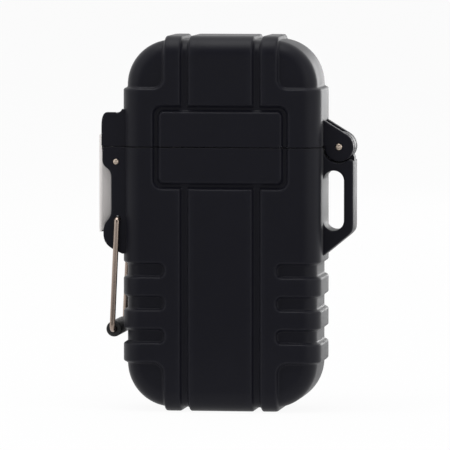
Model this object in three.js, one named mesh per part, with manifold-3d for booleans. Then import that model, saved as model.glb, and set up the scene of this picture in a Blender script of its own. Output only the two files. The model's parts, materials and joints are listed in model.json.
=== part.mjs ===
// A rugged, rechargeable arc lighter: a moulded body and lid with a raised pattern, a hinge with a
// lanyard loop on the right, and a sprung latch lever and a wire bail on the left. Millimetres, +Z up,
// front face towards -Y, origin in the middle of the flat base.
import * as THREE from "three";
import { mergeVertices } from "three/addons/utils/BufferGeometryUtils.js";
import Module from "manifold-3d";

const wasm = await Module();
wasm.setup();

// ---- Driving sizes ----

// Outer form of body and lid together
const bodyWidth = 43.7;
const bodyHeight = 82;
const bodyDepth = 22;
const cornerRadius = 10.75; // seen from the front
const edgeRadius = 4.5; // rolls the front and back into the sides
const wall = 2.6;
const lidHeight = 24.2;
const seamGap = 0.3;

// Clearances
const fitGap = 0.4; // an insert in its shell
const looseGap = 0.3; // loose neighbours
const seatGap = 0.1; // a piece resting on a flat
const runGap = 0.12; // a pin in its hole, on the radius

// Raised pattern
const recessDepth = 0.9;
const panelHalf = 7.06; // half width of the middle panel
const footHollow = 0.05; // its foot is this much higher than the ridges, so that they carry the lighter
const grooveWidth = 1.7;
const padStart = 12.5; // where the corner pads begin
const topPadHeight = 11.4;
const bottomPadHeight = 10.8;
const padCorner = 2.5;
const plateHalf = 13.5; // plain plate across the seam
const plateRise = 7.8;
const plateCorner = 1.1;
const plateGroove = 1.25;
const gripCount = 3;
const gripTopZ = 31;
const gripPitch = 7.2;
const gripHeight = 3;
const gripStart = 12.3;
const gripCorner = 1.2;

// Hinge and lanyard loop
const knuckleRadius = 3.2;
const knuckleRelief = 0.3;
const knuckleStandOff = 0.15; // between knuckle and side wall
const hingeDepth = 8.4;
const knuckleWidth = 3.8; // the body's middle knuckle
const hingePinRadius = 0.72;
const pinProud = 0.15;
const slotWidth = 4.5;
const slotLength = 13.1;
const loopWeb = 1.7; // between the lid's ears and the slot
const loopCorner = 3;
const loopCornerZ = -18.5;
const loopFootZ = -23.8;

// Latch side
const earSetback = 2.2; // ears' faces behind the front face
const earThick = 1.3;
const earReach = 4.35;
const bossReach = 4.55;
const bossClear = 0.45; // under the bail's wire as it swings over
const valleyClear = 0.58; // under the bail's sleeve, over the keeper
const catchDepth = 2.75; // of the pocket for the lever's hook, from the keeper's face
const catchTop = 2.8;
const ledgeTop = 1; // the ledge that the hook holds down
const pocketHeight = 6.3;
const latchPinRadius = 0.6;
const latchPinOut = 1.35;
const latchPinDrop = -3.3;
const leverReach = 5.35;
const leverSheet = 0.7;
const leverTop = 2.5;
const leverBottom = -18.7;
const leverBend = 1;
const leverEye = 1.5;
const hookDepth = 0.65;
const hookHeight = 1;
const springWire = 0.22;
const springTurns = 4;
const springPitch = 0.55;

// Wire bail
const bailWire = 0.6;
const bailLength = 24.2;
const bailPivotOut = 0.95;
const bailPivotDrop = -15.8;
const bailBend = 1.4;
const sleeveRadius = 1.72;

// Under the lid
const collarRise = 4.5; // above the seam
const deckDrop = 1.3; // deck below the collar's rim
const deckThick = 2;
const collarWall = 1.6;
const sealHeight = 1.3;
const sealDepth = 0.8;
const plateThick = 0.7;
const linerThick = 0.8;
const headLength = 13;
const headDepth = 9;
const headHeight = 7;
const channelWidth = 4.6;
const channelDepth = 2.9;
const electrodeRadius = 0.5;
const electrodeSpread = 3.6;
const arcGap = 3;
const buttonRadius = 3.2;
const buttonStem = 1.8;
const buttonTravel = 0.6;
const socketEdge = 2.4; // from the collar
const socketLength = 9;
const socketWidth = 3.3;
const screwRadius = 0.55;
const screwHead = 1.2;
const screwEdge = 1.75; // from the collar
const sideSpacing = 4.4; // second screw and light, to either side of the button
const lightRadius = 0.8;

// Inside the body
const railWall = 1.6;
const backWall = 1.3;
const bayFloor = 3.5; // above the frame's foot
const boardThick = 1.2;
const topBoardDrop = 4.1; // top board's face below the seam
const cellDepth = 8.2;
const leadChannel = 1.9; // between cell and transformers
const stackTop = -11.8; // top of the cell and board, above the seam
const transformerWidth = 8.1;
const leadRadius = 0.45;

// ---- Places that follow from them ----

const sideX = bodyWidth / 2;
const faceY = bodyDepth / 2;
const seamZ = bodyHeight - lidHeight;
const seamHalf = seamGap / 2;
const hingeOffset = knuckleRadius + knuckleStandOff;
const hingeX = sideX + hingeOffset;
const loopReach = hingeOffset + knuckleRadius - 0.05;
const slotTop = -(knuckleRadius + knuckleRelief + loopWeb);
const earY = faceY - earSetback;
const earInnerY = earY - earThick;
const leverHalf = earInnerY - looseGap;
const hookReach = leverReach - leverSheet - hookDepth;
const pocketDepth = leverEye - latchPinOut + fitGap;
const springRadius = latchPinRadius + springWire + runGap * 2;
const bailLegY = earY + looseGap + bailWire;
const sleeveHalf = earInnerY - looseGap;
const bossTop = bailPivotDrop + bailLength - bailWire - bossClear;
const valleyTop = bailPivotDrop + bailLength - sleeveRadius - valleyClear;
const frameInset = wall + fitGap;
const collarTop = seamZ + collarRise;
const deckTop = collarTop - deckDrop;
const deckBottom = deckTop - deckThick;
const plateTop = deckTop + seatGap + plateThick;
const deckHalf = sideX - frameInset - collarWall;
const headX = headLength / 2 + screwEdge + screwHead + fitGap - deckHalf;
const socketX = deckHalf - socketEdge - socketWidth / 2;
const buttonX = (headX + headLength / 2 + socketX - socketWidth / 2) / 2;
const screwPlaces = [
  [screwEdge - deckHalf, 0],
  [buttonX + sideSpacing, -sideSpacing],
];
const lightPlace = [buttonX + sideSpacing, sideSpacing];
const electrodeY = (channelWidth + headDepth) / 4;
const stackZ = seamZ + stackTop;
const topBoardZ = seamZ - topBoardDrop;
const bayHalf = sideX - frameInset - railWall;
const bayBackY = faceY - frameInset - backWall;
const bayZ = frameInset + bayFloor;
const beyond = 40; // past everything, for cutters

// ---- Finishes ----

const finishes = {
  shell: { color: 0x1f1e25, roughness: 0.55, metalness: 0 },
  frame: { color: 0x2a2a2c, roughness: 0.6, metalness: 0 },
  trim: { color: 0x17171a, roughness: 0.35, metalness: 0 },
  steel: { color: 0xc4c0ba, roughness: 0.3, metalness: 1 },
  wire: { color: 0xb3a596, roughness: 0.22, metalness: 1 },
  rubber: { color: 0x101012, roughness: 0.7, metalness: 0 },
  seal: { color: 0xb5451f, roughness: 0.6, metalness: 0 },
  ceramic: { color: 0xe9e4d8, roughness: 0.5, metalness: 0 },
  tungsten: { color: 0x8d8a86, roughness: 0.35, metalness: 1 },
  board: { color: 0x1d5a35, roughness: 0.5, metalness: 0 },
  cell: { color: 0x2f62a0, roughness: 0.45, metalness: 0 },
  potting: { color: 0x26221d, roughness: 0.4, metalness: 0 },
  lead: { color: 0xd8d2c6, roughness: 0.6, metalness: 0 },
  lens: { color: 0x7ea8e8, roughness: 0.15, metalness: 0 },
};

// ---- Making and placing solids ----

function solid(geometry) {
  const bare = geometry.clone();
  bare.deleteAttribute("uv");
  bare.deleteAttribute("normal");
  const merged = mergeVertices(bare, 1e-4);
  const triVerts = new Uint32Array(merged.index.array);
  const vertProperties = new Float32Array(merged.attributes.position.array);
  return new wasm.Manifold(new wasm.Mesh({ numProp: 3, vertProperties, triVerts }));
}

function geometryOf(piece) {
  const mesh = piece.getMesh();
  const geometry = new THREE.BufferGeometry();
  geometry.setAttribute("position", new THREE.BufferAttribute(mesh.vertProperties, 3));
  geometry.setIndex(new THREE.BufferAttribute(mesh.triVerts, 1));
  const faceted = geometry.toNonIndexed();
  faceted.computeVertexNormals();
  return faceted;
}

function meshOf(name, geometry, finish) {
  const mesh = new THREE.Mesh(geometry, new THREE.MeshStandardMaterial(finishes[finish]));
  mesh.name = name;
  return mesh;
}

// Adds a solid made in the object's frame to a group that stands elsewhere.
function addPiece(group, name, piece, finish) {
  const geometry = geometryOf(piece);
  geometry.translate(-group.position.x, -group.position.y, -group.position.z);
  group.add(meshOf(name, geometry, finish));
}

function box(x0, x1, y0, y1, z0, z1) {
  const geometry = new THREE.BoxGeometry(x1 - x0, y1 - y0, z1 - z0);
  geometry.translate((x0 + x1) / 2, (y0 + y1) / 2, (z0 + z1) / 2);
  return solid(geometry);
}

// A shape drawn in X and Z, pushed through from y0 to y1.
function prism(shape, y0, y1, curveSegments = 5) {
  const depth = y1 - y0;
  const geometry = new THREE.ExtrudeGeometry(shape, { depth, curveSegments, bevelEnabled: false });
  geometry.rotateX(Math.PI / 2);
  geometry.translate(0, y1, 0);
  return solid(geometry);
}

// A shape drawn in X and Y, raised from z0 to z1.
function upright(shape, z0, z1, curveSegments = 4) {
  const depth = z1 - z0;
  const geometry = new THREE.ExtrudeGeometry(shape, { depth, curveSegments, bevelEnabled: false });
  geometry.translate(0, 0, z0);
  return solid(geometry);
}

function rod(radius, y0, y1, x, z) {
  const geometry = new THREE.CylinderGeometry(radius, radius, y1 - y0, 32);
  geometry.translate(x, (y0 + y1) / 2, z);
  return solid(geometry);
}

function post(radius, z0, z1, x, y) {
  const geometry = new THREE.CylinderGeometry(radius, radius, z1 - z0, 20);
  geometry.rotateX(Math.PI / 2);
  geometry.translate(x, y, (z0 + z1) / 2);
  return solid(geometry);
}

function roundedRect(x0, x1, y0, y1, radius) {
  const shape = new THREE.Shape();
  shape.moveTo(x0 + radius, y0);
  shape.lineTo(x1 - radius, y0);
  shape.absarc(x1 - radius, y0 + radius, radius, -Math.PI / 2, 0);
  shape.lineTo(x1, y1 - radius);
  shape.absarc(x1 - radius, y1 - radius, radius, 0, Math.PI / 2);
  shape.lineTo(x0 + radius, y1);
  shape.absarc(x0 + radius, y1 - radius, radius, Math.PI / 2, Math.PI);
  shape.lineTo(x0, y0 + radius);
  shape.absarc(x0 + radius, y0 + radius, radius, Math.PI, Math.PI * 1.5);
  return shape;
}

// The lighter's whole pillow-like form, pulled in on every side by inset.
function form(inset) {
  const outline = roundedRect(
    inset - sideX,
    sideX - inset,
    inset,
    bodyHeight - inset,
    Math.max(cornerRadius - inset, 0.5),
  );
  const roll = Math.max(edgeRadius - inset, 0.5);
  const straight = bodyDepth - 2 * inset - 2 * roll;
  const geometry = new THREE.ExtrudeGeometry(outline, {
    depth: straight,
    bevelThickness: roll,
    bevelSize: roll,
    bevelOffset: -roll,
    bevelSegments: inset < wall ? 6 : 2,
    curveSegments: inset < wall ? 9 : 6,
  });
  geometry.rotateX(Math.PI / 2);
  geometry.translate(0, straight / 2, 0);
  return solid(geometry);
}

function between(piece, z0, z1) {
  return piece.intersect(box(-beyond, beyond, -beyond, beyond, z0, z1));
}

// A tube bent through given points, one section at each.
class BentPath extends THREE.Curve {
  constructor(points) {
    super();
    this.points = points;
  }
  getPointAt(u, target = new THREE.Vector3()) {
    return target.copy(this.points[Math.round(u * (this.points.length - 1))]);
  }
  getTangentAt(u, target = new THREE.Vector3()) {
    const last = this.points.length - 1;
    const at = Math.round(u * last);
    const ahead = this.points[Math.min(at + 1, last)];
    const behind = this.points[Math.max(at - 1, 0)];
    return target.copy(ahead).sub(behind).normalize();
  }
}

function tube(points, radius, sides = 8) {
  const section = new THREE.Shape();
  for (let i = 0; i < sides; i += 1) {
    const turn = (i / sides) * Math.PI * 2;
    section[i ? "lineTo" : "moveTo"](radius * Math.cos(turn), radius * Math.sin(turn));
  }
  const extrudePath = new BentPath(points);
  return solid(new THREE.ExtrudeGeometry(section, { extrudePath, steps: points.length - 1 }));
}

// Replaces each inner corner of a polyline by an arc of the given radius.
function roundCorners(corners, radius, stepsPerBend = 6) {
  const points = [corners[0]];
  for (let i = 1; i < corners.length - 1; i += 1) {
    const inward = corners[i - 1].clone().sub(corners[i]).normalize();
    const outward = corners[i + 1].clone().sub(corners[i]).normalize();
    const half = inward.angleTo(outward) / 2;
    const middle = inward.clone().add(outward).normalize();
    const centre = corners[i].clone().addScaledVector(middle, radius / Math.sin(half));
    const reach = radius / Math.tan(half);
    const from = corners[i].clone().addScaledVector(inward, reach).sub(centre);
    const to = corners[i].clone().addScaledVector(outward, reach).sub(centre);
    const axis = from.clone().cross(to).normalize();
    for (let k = 0; k <= stepsPerBend; k += 1) {
      const turned = from.clone().applyAxisAngle(axis, (from.angleTo(to) * k) / stepsPerBend);
      points.push(turned.add(centre));
    }
  }
  points.push(corners[corners.length - 1]);
  return points;
}

// ---- Body and lid shells ----

function padShape(side, z0, z1) {
  const inner = side * padStart;
  const outer = side * beyond;
  const shape = new THREE.Shape();
  const inwardZ = z0 > seamZ ? z0 : z1; // the edge that faces the seam
  const outwardZ = z0 > seamZ ? z1 : z0;
  const lean = Math.sign(outwardZ - inwardZ);
  shape.moveTo(outer, outwardZ);
  shape.lineTo(outer, inwardZ);
  shape.lineTo(inner + side * padCorner, inwardZ);
  shape.quadraticCurveTo(inner, inwardZ, inner, inwardZ + lean * padCorner);
  shape.lineTo(inner, outwardZ);
  return shape;
}

function gripShape(side, z) {
  const x0 = side > 0 ? gripStart : -beyond;
  const x1 = side > 0 ? beyond : -gripStart;
  return roundedRect(x0, x1, z - gripHeight / 2, z + gripHeight / 2, gripCorner);
}

function grooveShape(side, z0, z1) {
  const near = side * panelHalf;
  const far = side * (panelHalf + grooveWidth);
  return roundedRect(Math.min(near, far), Math.max(near, far), z0, z1, 0.05);
}

function plateRing() {
  const reach = plateGroove;
  const ring = roundedRect(
    -plateHalf - reach,
    plateHalf + reach,
    seamZ - plateRise - reach,
    seamZ + plateRise + reach,
    plateCorner + 0.9,
  );
  const hole = roundedRect(-plateHalf, plateHalf, seamZ - plateRise, seamZ + plateRise, plateCorner);
  ring.holes.push(hole);
  return ring;
}

// Everything that is pressed in by recessDepth, as shapes seen from the front.
function patternShapes() {
  const ringEdge = plateRise + plateGroove / 2;
  const shapes = [plateRing()];
  for (const side of [-1, 1]) {
    shapes.push(padShape(side, bodyHeight - topPadHeight, bodyHeight + beyond));
    shapes.push(padShape(side, -beyond, bottomPadHeight));
    shapes.push(grooveShape(side, seamZ + ringEdge, bodyHeight + beyond));
    shapes.push(grooveShape(side, -beyond, seamZ - ringEdge));
    for (let i = 0; i < gripCount; i += 1) {
      shapes.push(gripShape(side, gripTopZ - i * gripPitch));
    }
  }
  return shapes;
}

function patternedForm() {
  const core = form(recessDepth);
  const hollowHalf = panelHalf + grooveWidth / 2;
  return patternShapes().reduce(
    (left, shape) => left.subtract(prism(shape, -beyond, beyond).subtract(core)),
    form(0).subtract(box(-hollowHalf, hollowHalf, -beyond, beyond, -beyond, footHollow)),
  );
}

// A shape on the latch side from distances beyond the side wall and above the seam.
function latchShape(draw) {
  const shape = new THREE.Shape();
  const at = (out, up) => [-(sideX + out), seamZ + up];
  draw({
    move: (out, up) => shape.moveTo(...at(out, up)),
    line: (out, up) => shape.lineTo(...at(out, up)),
    curve: (a, b, c) => shape.bezierCurveTo(...at(...a), ...at(...b), ...at(...c)),
  });
  return shape;
}

function latchBox(out0, out1, halfY, up0, up1) {
  return box(-(sideX + out1), -(sideX + out0), -halfY, halfY, seamZ + up0, seamZ + up1);
}

function earShape() {
  const root = -wall / 2;
  return latchShape(({ move, line, curve }) => {
    move(root, -seamHalf);
    line(earReach, -seamHalf);
    line(earReach, -2.9);
    curve([earReach, -4.9], [2.4, -4.4], [2.4, -6.7]);
    line(2.4, -14);
    curve([2.4, -16.2], [earReach - 0.2, -16], [earReach - 0.2, -18.7]);
    curve([earReach - 0.15, -21.9], [2.8, -22.5], [0, -24]);
    line(root, -24);
  });
}

function bossShape() {
  const root = -wall / 2;
  return latchShape(({ move, line, curve }) => {
    move(root, seamHalf);
    line(bossReach, seamHalf);
    line(bossReach, bossTop - 3);
    curve([bossReach, bossTop - 1.2], [bossReach - 0.4, bossTop], [bossReach - 1.3, bossTop]);
    line(1.5, bossTop);
    line(1.05, bossTop - 0.2);
    curve([0.6, bossTop + 0.1], [0.1, bossTop + 0.8], [0, bossTop + 1.8]);
    line(root, bossTop + 1.8);
  });
}

function loopShape() {
  const outer = sideX + loopReach;
  const root = sideX - wall / 2;
  const shape = new THREE.Shape();
  shape.moveTo(root, seamZ + loopFootZ);
  shape.lineTo(sideX, seamZ + loopFootZ);
  const slope = (loopCornerZ - loopFootZ) / loopReach;
  const before = { x: outer - loopCorner * 0.75, z: seamZ + loopCornerZ - loopCorner * 0.75 * slope };
  shape.lineTo(before.x, before.z);
  shape.quadraticCurveTo(outer, seamZ + loopCornerZ, outer, seamZ + loopCornerZ + loopCorner * 0.8);
  shape.lineTo(outer, seamZ - seamHalf);
  shape.lineTo(root, seamZ - seamHalf);
  return shape;
}

// The loop, with the cradle that the lid's ears turn in and the body's own knuckle.
function loopAndKnuckle() {
  const half = hingeDepth / 2;
  const slotLeft = sideX - 0.05;
  const slot = roundedRect(
    slotLeft,
    slotLeft + slotWidth,
    seamZ + slotTop - slotLength,
    seamZ + slotTop,
    slotWidth / 2 - 0.01,
  );
  const cradle = rod(knuckleRadius + knuckleRelief, -beyond, beyond, hingeX, seamZ);
  const knuckle = rod(knuckleRadius, -knuckleWidth / 2, knuckleWidth / 2, hingeX, seamZ);
  const neckLeft = hingeX - knuckleRadius;
  const neck = box(
    neckLeft,
    sideX + loopReach,
    -knuckleWidth / 2,
    knuckleWidth / 2,
    seamZ + slotTop + 0.6,
    seamZ - knuckleRadius / 2,
  );
  return prism(loopShape(), -half, half)
    .subtract(cradle)
    .add(knuckle)
    .add(neck)
    .subtract(prism(slot, -beyond, beyond, 9));
}

function hingeBore() {
  return rod(hingePinRadius + runGap, -beyond, beyond, hingeX, seamZ);
}

function latchBore() {
  const z = seamZ + latchPinDrop;
  return rod(latchPinRadius + runGap, -beyond, beyond, -(sideX + latchPinOut), z);
}

function bailBore() {
  const z = seamZ + bailPivotDrop;
  const bore = rod(bailWire + runGap, -beyond, beyond, -(sideX + bailPivotOut), z);
  return bore.subtract(box(-beyond, beyond, -earInnerY, earInnerY, 0, bodyHeight));
}

function screwBores(radius, z0, z1) {
  const bores = screwPlaces.map(([x, y]) => post(radius, z0, z1, x, y));
  return bores.reduce((all, bore) => all.add(bore));
}

function bodyShell() {
  const ears = prism(earShape(), -earY, -earInnerY).add(prism(earShape(), earInnerY, earY));
  const pocket = latchBox(-pocketDepth, earReach, earInnerY, -pocketHeight, 1);
  const moulding = between(patternedForm(), -1, seamZ - seamHalf)
    .subtract(pocket)
    .add(ears)
    .add(loopAndKnuckle())
    .subtract(hingeReliefOnSide());
  return moulding.subtract(form(wall)).subtract(hingeBore()).subtract(latchBore()).subtract(bailBore());
}

// The lid's ears swing a little inside the body's side, so it is dished for them.
function hingeReliefOnSide() {
  const dish = rod(knuckleRadius + knuckleRelief, -hingeDepth / 2, hingeDepth / 2, hingeX, seamZ);
  return dish.subtract(box(0, beyond, -knuckleWidth / 2, knuckleWidth / 2, 0, bodyHeight));
}

function lidEarShape() {
  const root = sideX - wall / 2;
  const lean = 0.62; // fall of the ear's top edge
  const length = Math.hypot(lean, 1);
  const touch = { x: hingeX + (knuckleRadius * lean) / length, z: seamZ + knuckleRadius / length };
  const shape = new THREE.Shape();
  shape.moveTo(root, seamZ + seamHalf);
  shape.lineTo(hingeX, seamZ + seamHalf);
  shape.lineTo(touch.x, touch.z);
  shape.lineTo(root, touch.z + lean * (touch.x - root));
  return shape;
}

function lidEars() {
  const outer = hingeDepth / 2;
  const inner = knuckleWidth / 2 + looseGap;
  const web = prism(lidEarShape(), -outer, outer);
  const barrel = rod(knuckleRadius, -outer, outer, hingeX, seamZ);
  const middle = box(sideX, beyond, -inner, inner, 0, bodyHeight);
  return web.add(barrel).subtract(middle);
}

function bossCheeks() {
  return prism(bossShape(), -earY, -earInnerY).add(prism(bossShape(), earInnerY, earY));
}

// The block between the boss's cheeks: a ledge that the lever's hook holds down, a pocket over the
// ledge, and a top that the bail's sleeve swings over.
function latchKeeper() {
  const ledgeReach = hookReach - looseGap;
  const block = latchBox(seatGap, bossReach, earInnerY - seatGap, seamHalf, valleyTop);
  const front = latchBox(ledgeReach, beyond, earInnerY, -1, catchTop);
  const pocket = latchBox(bossReach - catchDepth, beyond, earInnerY, ledgeTop, catchTop);
  return block.subtract(front).subtract(pocket);
}

function lidShell() {
  return between(patternedForm(), seamZ + seamHalf, bodyHeight + 1)
    .add(bossCheeks())
    .add(lidEars())
    .subtract(form(wall))
    .subtract(hingeBore());
}

function lidLiner() {
  const inset = wall + looseGap;
  const skin = form(inset).subtract(form(inset + linerThick));
  return between(skin, collarTop + 0.9, bodyHeight);
}

// ---- Pins, lever, spring and bail ----

// A pin along Y with domed ends, centred on its own origin.
function domedPin(radius, halfLength) {
  const dome = radius * 0.35;
  const profile = [new THREE.Vector2(0, -halfLength)];
  for (let i = 1; i <= 4; i += 1) {
    const turn = (i / 4) * (Math.PI / 2);
    const along = halfLength - dome + dome * Math.cos(turn);
    profile.push(new THREE.Vector2(radius * Math.sin(turn), -along));
  }
  for (let i = 4; i >= 1; i -= 1) {
    const turn = (i / 4) * (Math.PI / 2);
    const along = halfLength - dome + dome * Math.cos(turn);
    profile.push(new THREE.Vector2(radius * Math.sin(turn), along));
  }
  profile.push(new THREE.Vector2(0, halfLength));
  return new THREE.LatheGeometry(profile, 20);
}

function leverSection() {
  const outer = -(sideX + leverReach);
  const inner = -sideX + pocketDepth;
  const outside = roundedRect(outer, inner, -leverHalf, leverHalf, leverBend);
  const channel = roundedRect(
    outer + leverSheet,
    beyond,
    leverSheet - leverHalf,
    leverHalf - leverSheet,
    0.3,
  );
  const z0 = seamZ + leverBottom;
  const z1 = seamZ + leverTop;
  return upright(outside, z0, z1).subtract(upright(channel, z0 - 1, z1 + 1));
}

function latchLever() {
  const plate = latchBox(leverReach - leverSheet, leverReach + 1, leverHalf, leverBottom, leverTop);
  const flange = prism(
    latchShape(({ move, line, curve }) => {
      move(leverReach, -0.8);
      line(3.2, -0.8);
      line(latchPinOut, latchPinDrop + leverEye);
      line(2.25, -6);
      line(2.25, -15.2);
      curve([2.25, -15.9], [2.6, -16.3], [3.3, -16.3]);
      line(leverReach, -16.3);
    }),
    -leverHalf,
    leverHalf,
  );
  const eye = rod(leverEye, -leverHalf, leverHalf, -(sideX + latchPinOut), seamZ + latchPinDrop);
  const hook = latchBox(
    hookReach,
    leverReach - leverSheet / 2,
    leverHalf - leverBend,
    leverTop - hookHeight,
    leverTop,
  );
  return leverSection().intersect(plate.add(flange).add(eye)).add(hook).subtract(latchBore());
}

// A torsion spring round the latch pin: one leg up the body, one down to the lever.
function latchSpring() {
  const lean = Math.atan2(0.6, 0.8);
  const turnStep = Math.PI / 7;
  const sweep = springTurns * 2 * Math.PI + lean;
  const steps = Math.round(sweep / turnStep);
  const width = (sweep / (2 * Math.PI)) * springPitch;
  const points = [new THREE.Vector3(springRadius, -width / 2, 2.6)];
  for (let i = 0; i <= steps; i += 1) {
    const turn = -(sweep * i) / steps;
    const along = -width / 2 + (width * i) / steps;
    points.push(new THREE.Vector3(springRadius * Math.cos(turn), along, springRadius * Math.sin(turn)));
  }
  const legReach = (leverReach - leverSheet - springWire - 0.2 - latchPinOut + springRadius * 0.8) / 0.6;
  const end = points[points.length - 1].clone();
  points.push(end.add(new THREE.Vector3(-0.6 * legReach, 0, -0.8 * legReach)));
  return tube(points, springWire);
}

// The bail about its own pivot, hanging so that the sleeve stops just off the side wall, or off the
// rounded corner where the bail reaches down that far.
function bailHang() {
  const clear = sleeveRadius + looseGap;
  const straight = Math.asin((clear - bailPivotOut) / bailLength);
  const pivotZ = seamZ + bailPivotDrop;
  if (pivotZ - bailLength * Math.cos(straight) >= cornerRadius) {
    return straight;
  }
  const out = cornerRadius + bailPivotOut;
  const up = pivotZ - cornerRadius;
  const apart = Math.hypot(out, up);
  const reach = cornerRadius + clear;
  const turn = Math.acos((apart ** 2 + bailLength ** 2 - reach ** 2) / (2 * apart * bailLength));
  return turn - Math.atan2(out, up);
}

function bailWireSolid() {
  const legY = bailLegY;
  const stubY = earInnerY + looseGap;
  const down = -bailLength;
  const corners = [
    new THREE.Vector3(0, -stubY, 0),
    new THREE.Vector3(0, -legY, 0),
    new THREE.Vector3(0, -legY, down),
    new THREE.Vector3(0, legY, down),
    new THREE.Vector3(0, legY, 0),
    new THREE.Vector3(0, stubY, 0),
  ];
  const tight = roundCorners(corners.slice(0, 3), 0.9).slice(0, -1);
  const wide = roundCorners(corners.slice(1, 5), bailBend).slice(1, -1);
  const last = roundCorners(corners.slice(3, 6), 0.9).slice(1);
  return tube([...tight, ...wide, ...last], bailWire, 12);
}

function sleeve() {
  const bore = bailWire + runGap;
  const soft = 0.35;
  const profile = [
    [bore, -sleeveHalf],
    [sleeveRadius - soft, -sleeveHalf],
    [sleeveRadius, soft - sleeveHalf],
    [sleeveRadius, sleeveHalf - soft],
    [sleeveRadius - soft, sleeveHalf],
    [bore, sleeveHalf],
    [bore, -sleeveHalf],
  ];
  return new THREE.LatheGeometry(profile.map(([r, y]) => new THREE.Vector2(r, y)), 28);
}

// ---- Frame and what stands on its deck ----

function headBlock(grow, z0, z1) {
  const halfLength = headLength / 2 + grow;
  const halfDepth = headDepth / 2 + grow;
  return upright(roundedRect(headX - halfLength, headX + halfLength, -halfDepth, halfDepth, 1.2), z0, z1);
}

function socketBlock(grow, z0, z1) {
  const halfWidth = socketWidth / 2 + grow;
  const halfLength = socketLength / 2 + grow;
  const outline = roundedRect(
    socketX - halfWidth,
    socketX + halfWidth,
    -halfLength,
    halfLength,
    halfWidth - 0.05,
  );
  return upright(outline, z0, z1);
}

const electrodePlaces = [];
for (const sideY of [-1, 1]) {
  for (const sideOfHead of [-1, 1]) {
    electrodePlaces.push({ x: headX + sideOfHead * electrodeSpread, y: sideY * electrodeY });
  }
}
const headFloor = deckTop - 1.1;
const tipZ = headFloor + headHeight - channelDepth / 2;
const stemZ = deckBottom - 1;

function electrodePath({ x, y }, tipY, footZ) {
  const corners = [
    new THREE.Vector3(x, Math.sign(y) * tipY, tipZ),
    new THREE.Vector3(x, y, tipZ),
    new THREE.Vector3(x, y, footZ),
  ];
  return roundCorners(corners, 0.8);
}

function electrode(place) {
  return tube(electrodePath(place, arcGap / 2, stemZ), electrodeRadius, 10);
}

function ceramicHead() {
  const top = headFloor + headHeight;
  const channel = box(
    -beyond,
    beyond,
    -channelWidth / 2,
    channelWidth / 2,
    top - channelDepth,
    top + 1,
  );
  const bores = electrodePlaces.map((place) =>
    tube(electrodePath(place, channelWidth / 2 - 0.3, headFloor - 1), electrodeRadius + 0.2, 10),
  );
  return bores.reduce((left, bore) => left.subtract(bore), headBlock(0, headFloor, top).subtract(channel));
}

function neckFrame() {
  const outside = between(form(frameInset), 0, collarTop);
  const bay = box(-bayHalf, bayHalf, -beyond, bayBackY, bayZ, deckBottom);
  const rim = between(form(frameInset + collarWall), deckTop, bodyHeight);
  const grooveZ = seamZ + collarRise / 2 - 0.3;
  const grooveHalf = sealHeight / 2 + 0.15;
  const ringSpace = box(-beyond, beyond, -beyond, beyond, grooveZ - grooveHalf, grooveZ + grooveHalf);
  const groove = ringSpace.subtract(form(frameInset + sealDepth + 0.1));
  const stems = electrodePlaces.map(({ x, y }) => {
    return post(electrodeRadius + looseGap, stemZ, deckTop, x, y);
  });
  const cutters = [
    bay,
    rim,
    groove,
    headBlock(0.25, headFloor - seatGap, collarTop),
    ...stems,
    post(buttonStem + 0.2, deckBottom - 1, collarTop, buttonX, 0),
    socketBlock(looseGap, deckBottom - 1, collarTop),
    post(lightRadius + 0.2, deckBottom - 1, collarTop, ...lightPlace),
    screwBores(screwRadius + 0.15, deckBottom - 1, collarTop),
  ];
  return cutters.reduce((left, cutter) => left.subtract(cutter), outside);
}

function neckSeal() {
  const outer = frameInset - 0.1;
  const z = seamZ + collarRise / 2 - 0.3;
  return between(form(outer).subtract(form(outer + sealDepth)), z - sealHeight / 2, z + sealHeight / 2);
}

function deckPlate() {
  const halfX = deckHalf - looseGap;
  const halfY = faceY - frameInset - collarWall - looseGap;
  const z0 = deckTop + seatGap;
  const outline = roundedRect(-halfX, halfX, -halfY, halfY, 0.8);
  const cutters = [
    headBlock(looseGap, z0 - 1, plateTop + 1),
    post(buttonRadius + looseGap, z0 - 1, plateTop + 1, buttonX, 0),
    socketBlock(looseGap, z0 - 1, plateTop + 1),
    post(lightRadius + 0.2, z0 - 1, plateTop + 1, ...lightPlace),
    screwBores(screwRadius + 0.2, z0 - 1, plateTop + 1),
  ];
  return cutters.reduce((left, cutter) => left.subtract(cutter), upright(outline, z0, plateTop));
}

function deckScrew() {
  const headZ = plateTop + seatGap;
  const foot = deckBottom + 0.4;
  const profile = [
    [0, foot],
    [screwRadius, foot],
    [screwRadius, headZ],
    [screwHead, headZ],
    [screwHead, headZ + 0.35],
    [screwHead * 0.8, headZ + 0.6],
    [0, headZ + 0.7],
  ];
  const geometry = new THREE.LatheGeometry(profile.map(([r, z]) => new THREE.Vector2(r, z)), 20);
  geometry.rotateX(Math.PI / 2);
  return geometry;
}

function ignitionButton() {
  const capZ = deckTop + 0.2 + buttonTravel;
  const clipZ = deckBottom - 0.2;
  const profile = [
    [0, clipZ - 0.5],
    [buttonStem + 0.3, clipZ - 0.5],
    [buttonStem + 0.6, clipZ],
    [buttonStem, clipZ],
    [buttonStem, capZ],
    [buttonRadius, capZ],
    [buttonRadius, capZ + 1],
    [buttonRadius - 0.4, capZ + 1.4],
    [0, capZ + 1.4],
  ];
  const geometry = new THREE.LatheGeometry(profile.map(([r, z]) => new THREE.Vector2(r, z)), 28);
  geometry.rotateX(Math.PI / 2);
  return geometry;
}

function tactSwitch() {
  const z = topBoardZ + seatGap;
  const half = 3;
  const plungerTop = deckBottom - 0.7 - buttonTravel - 0.2;
  const can = upright(roundedRect(buttonX - half, buttonX + half, -half, half, 0.3), z, plungerTop - 0.6);
  return can.add(post(1.6, z, plungerTop, buttonX, 0));
}

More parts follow.
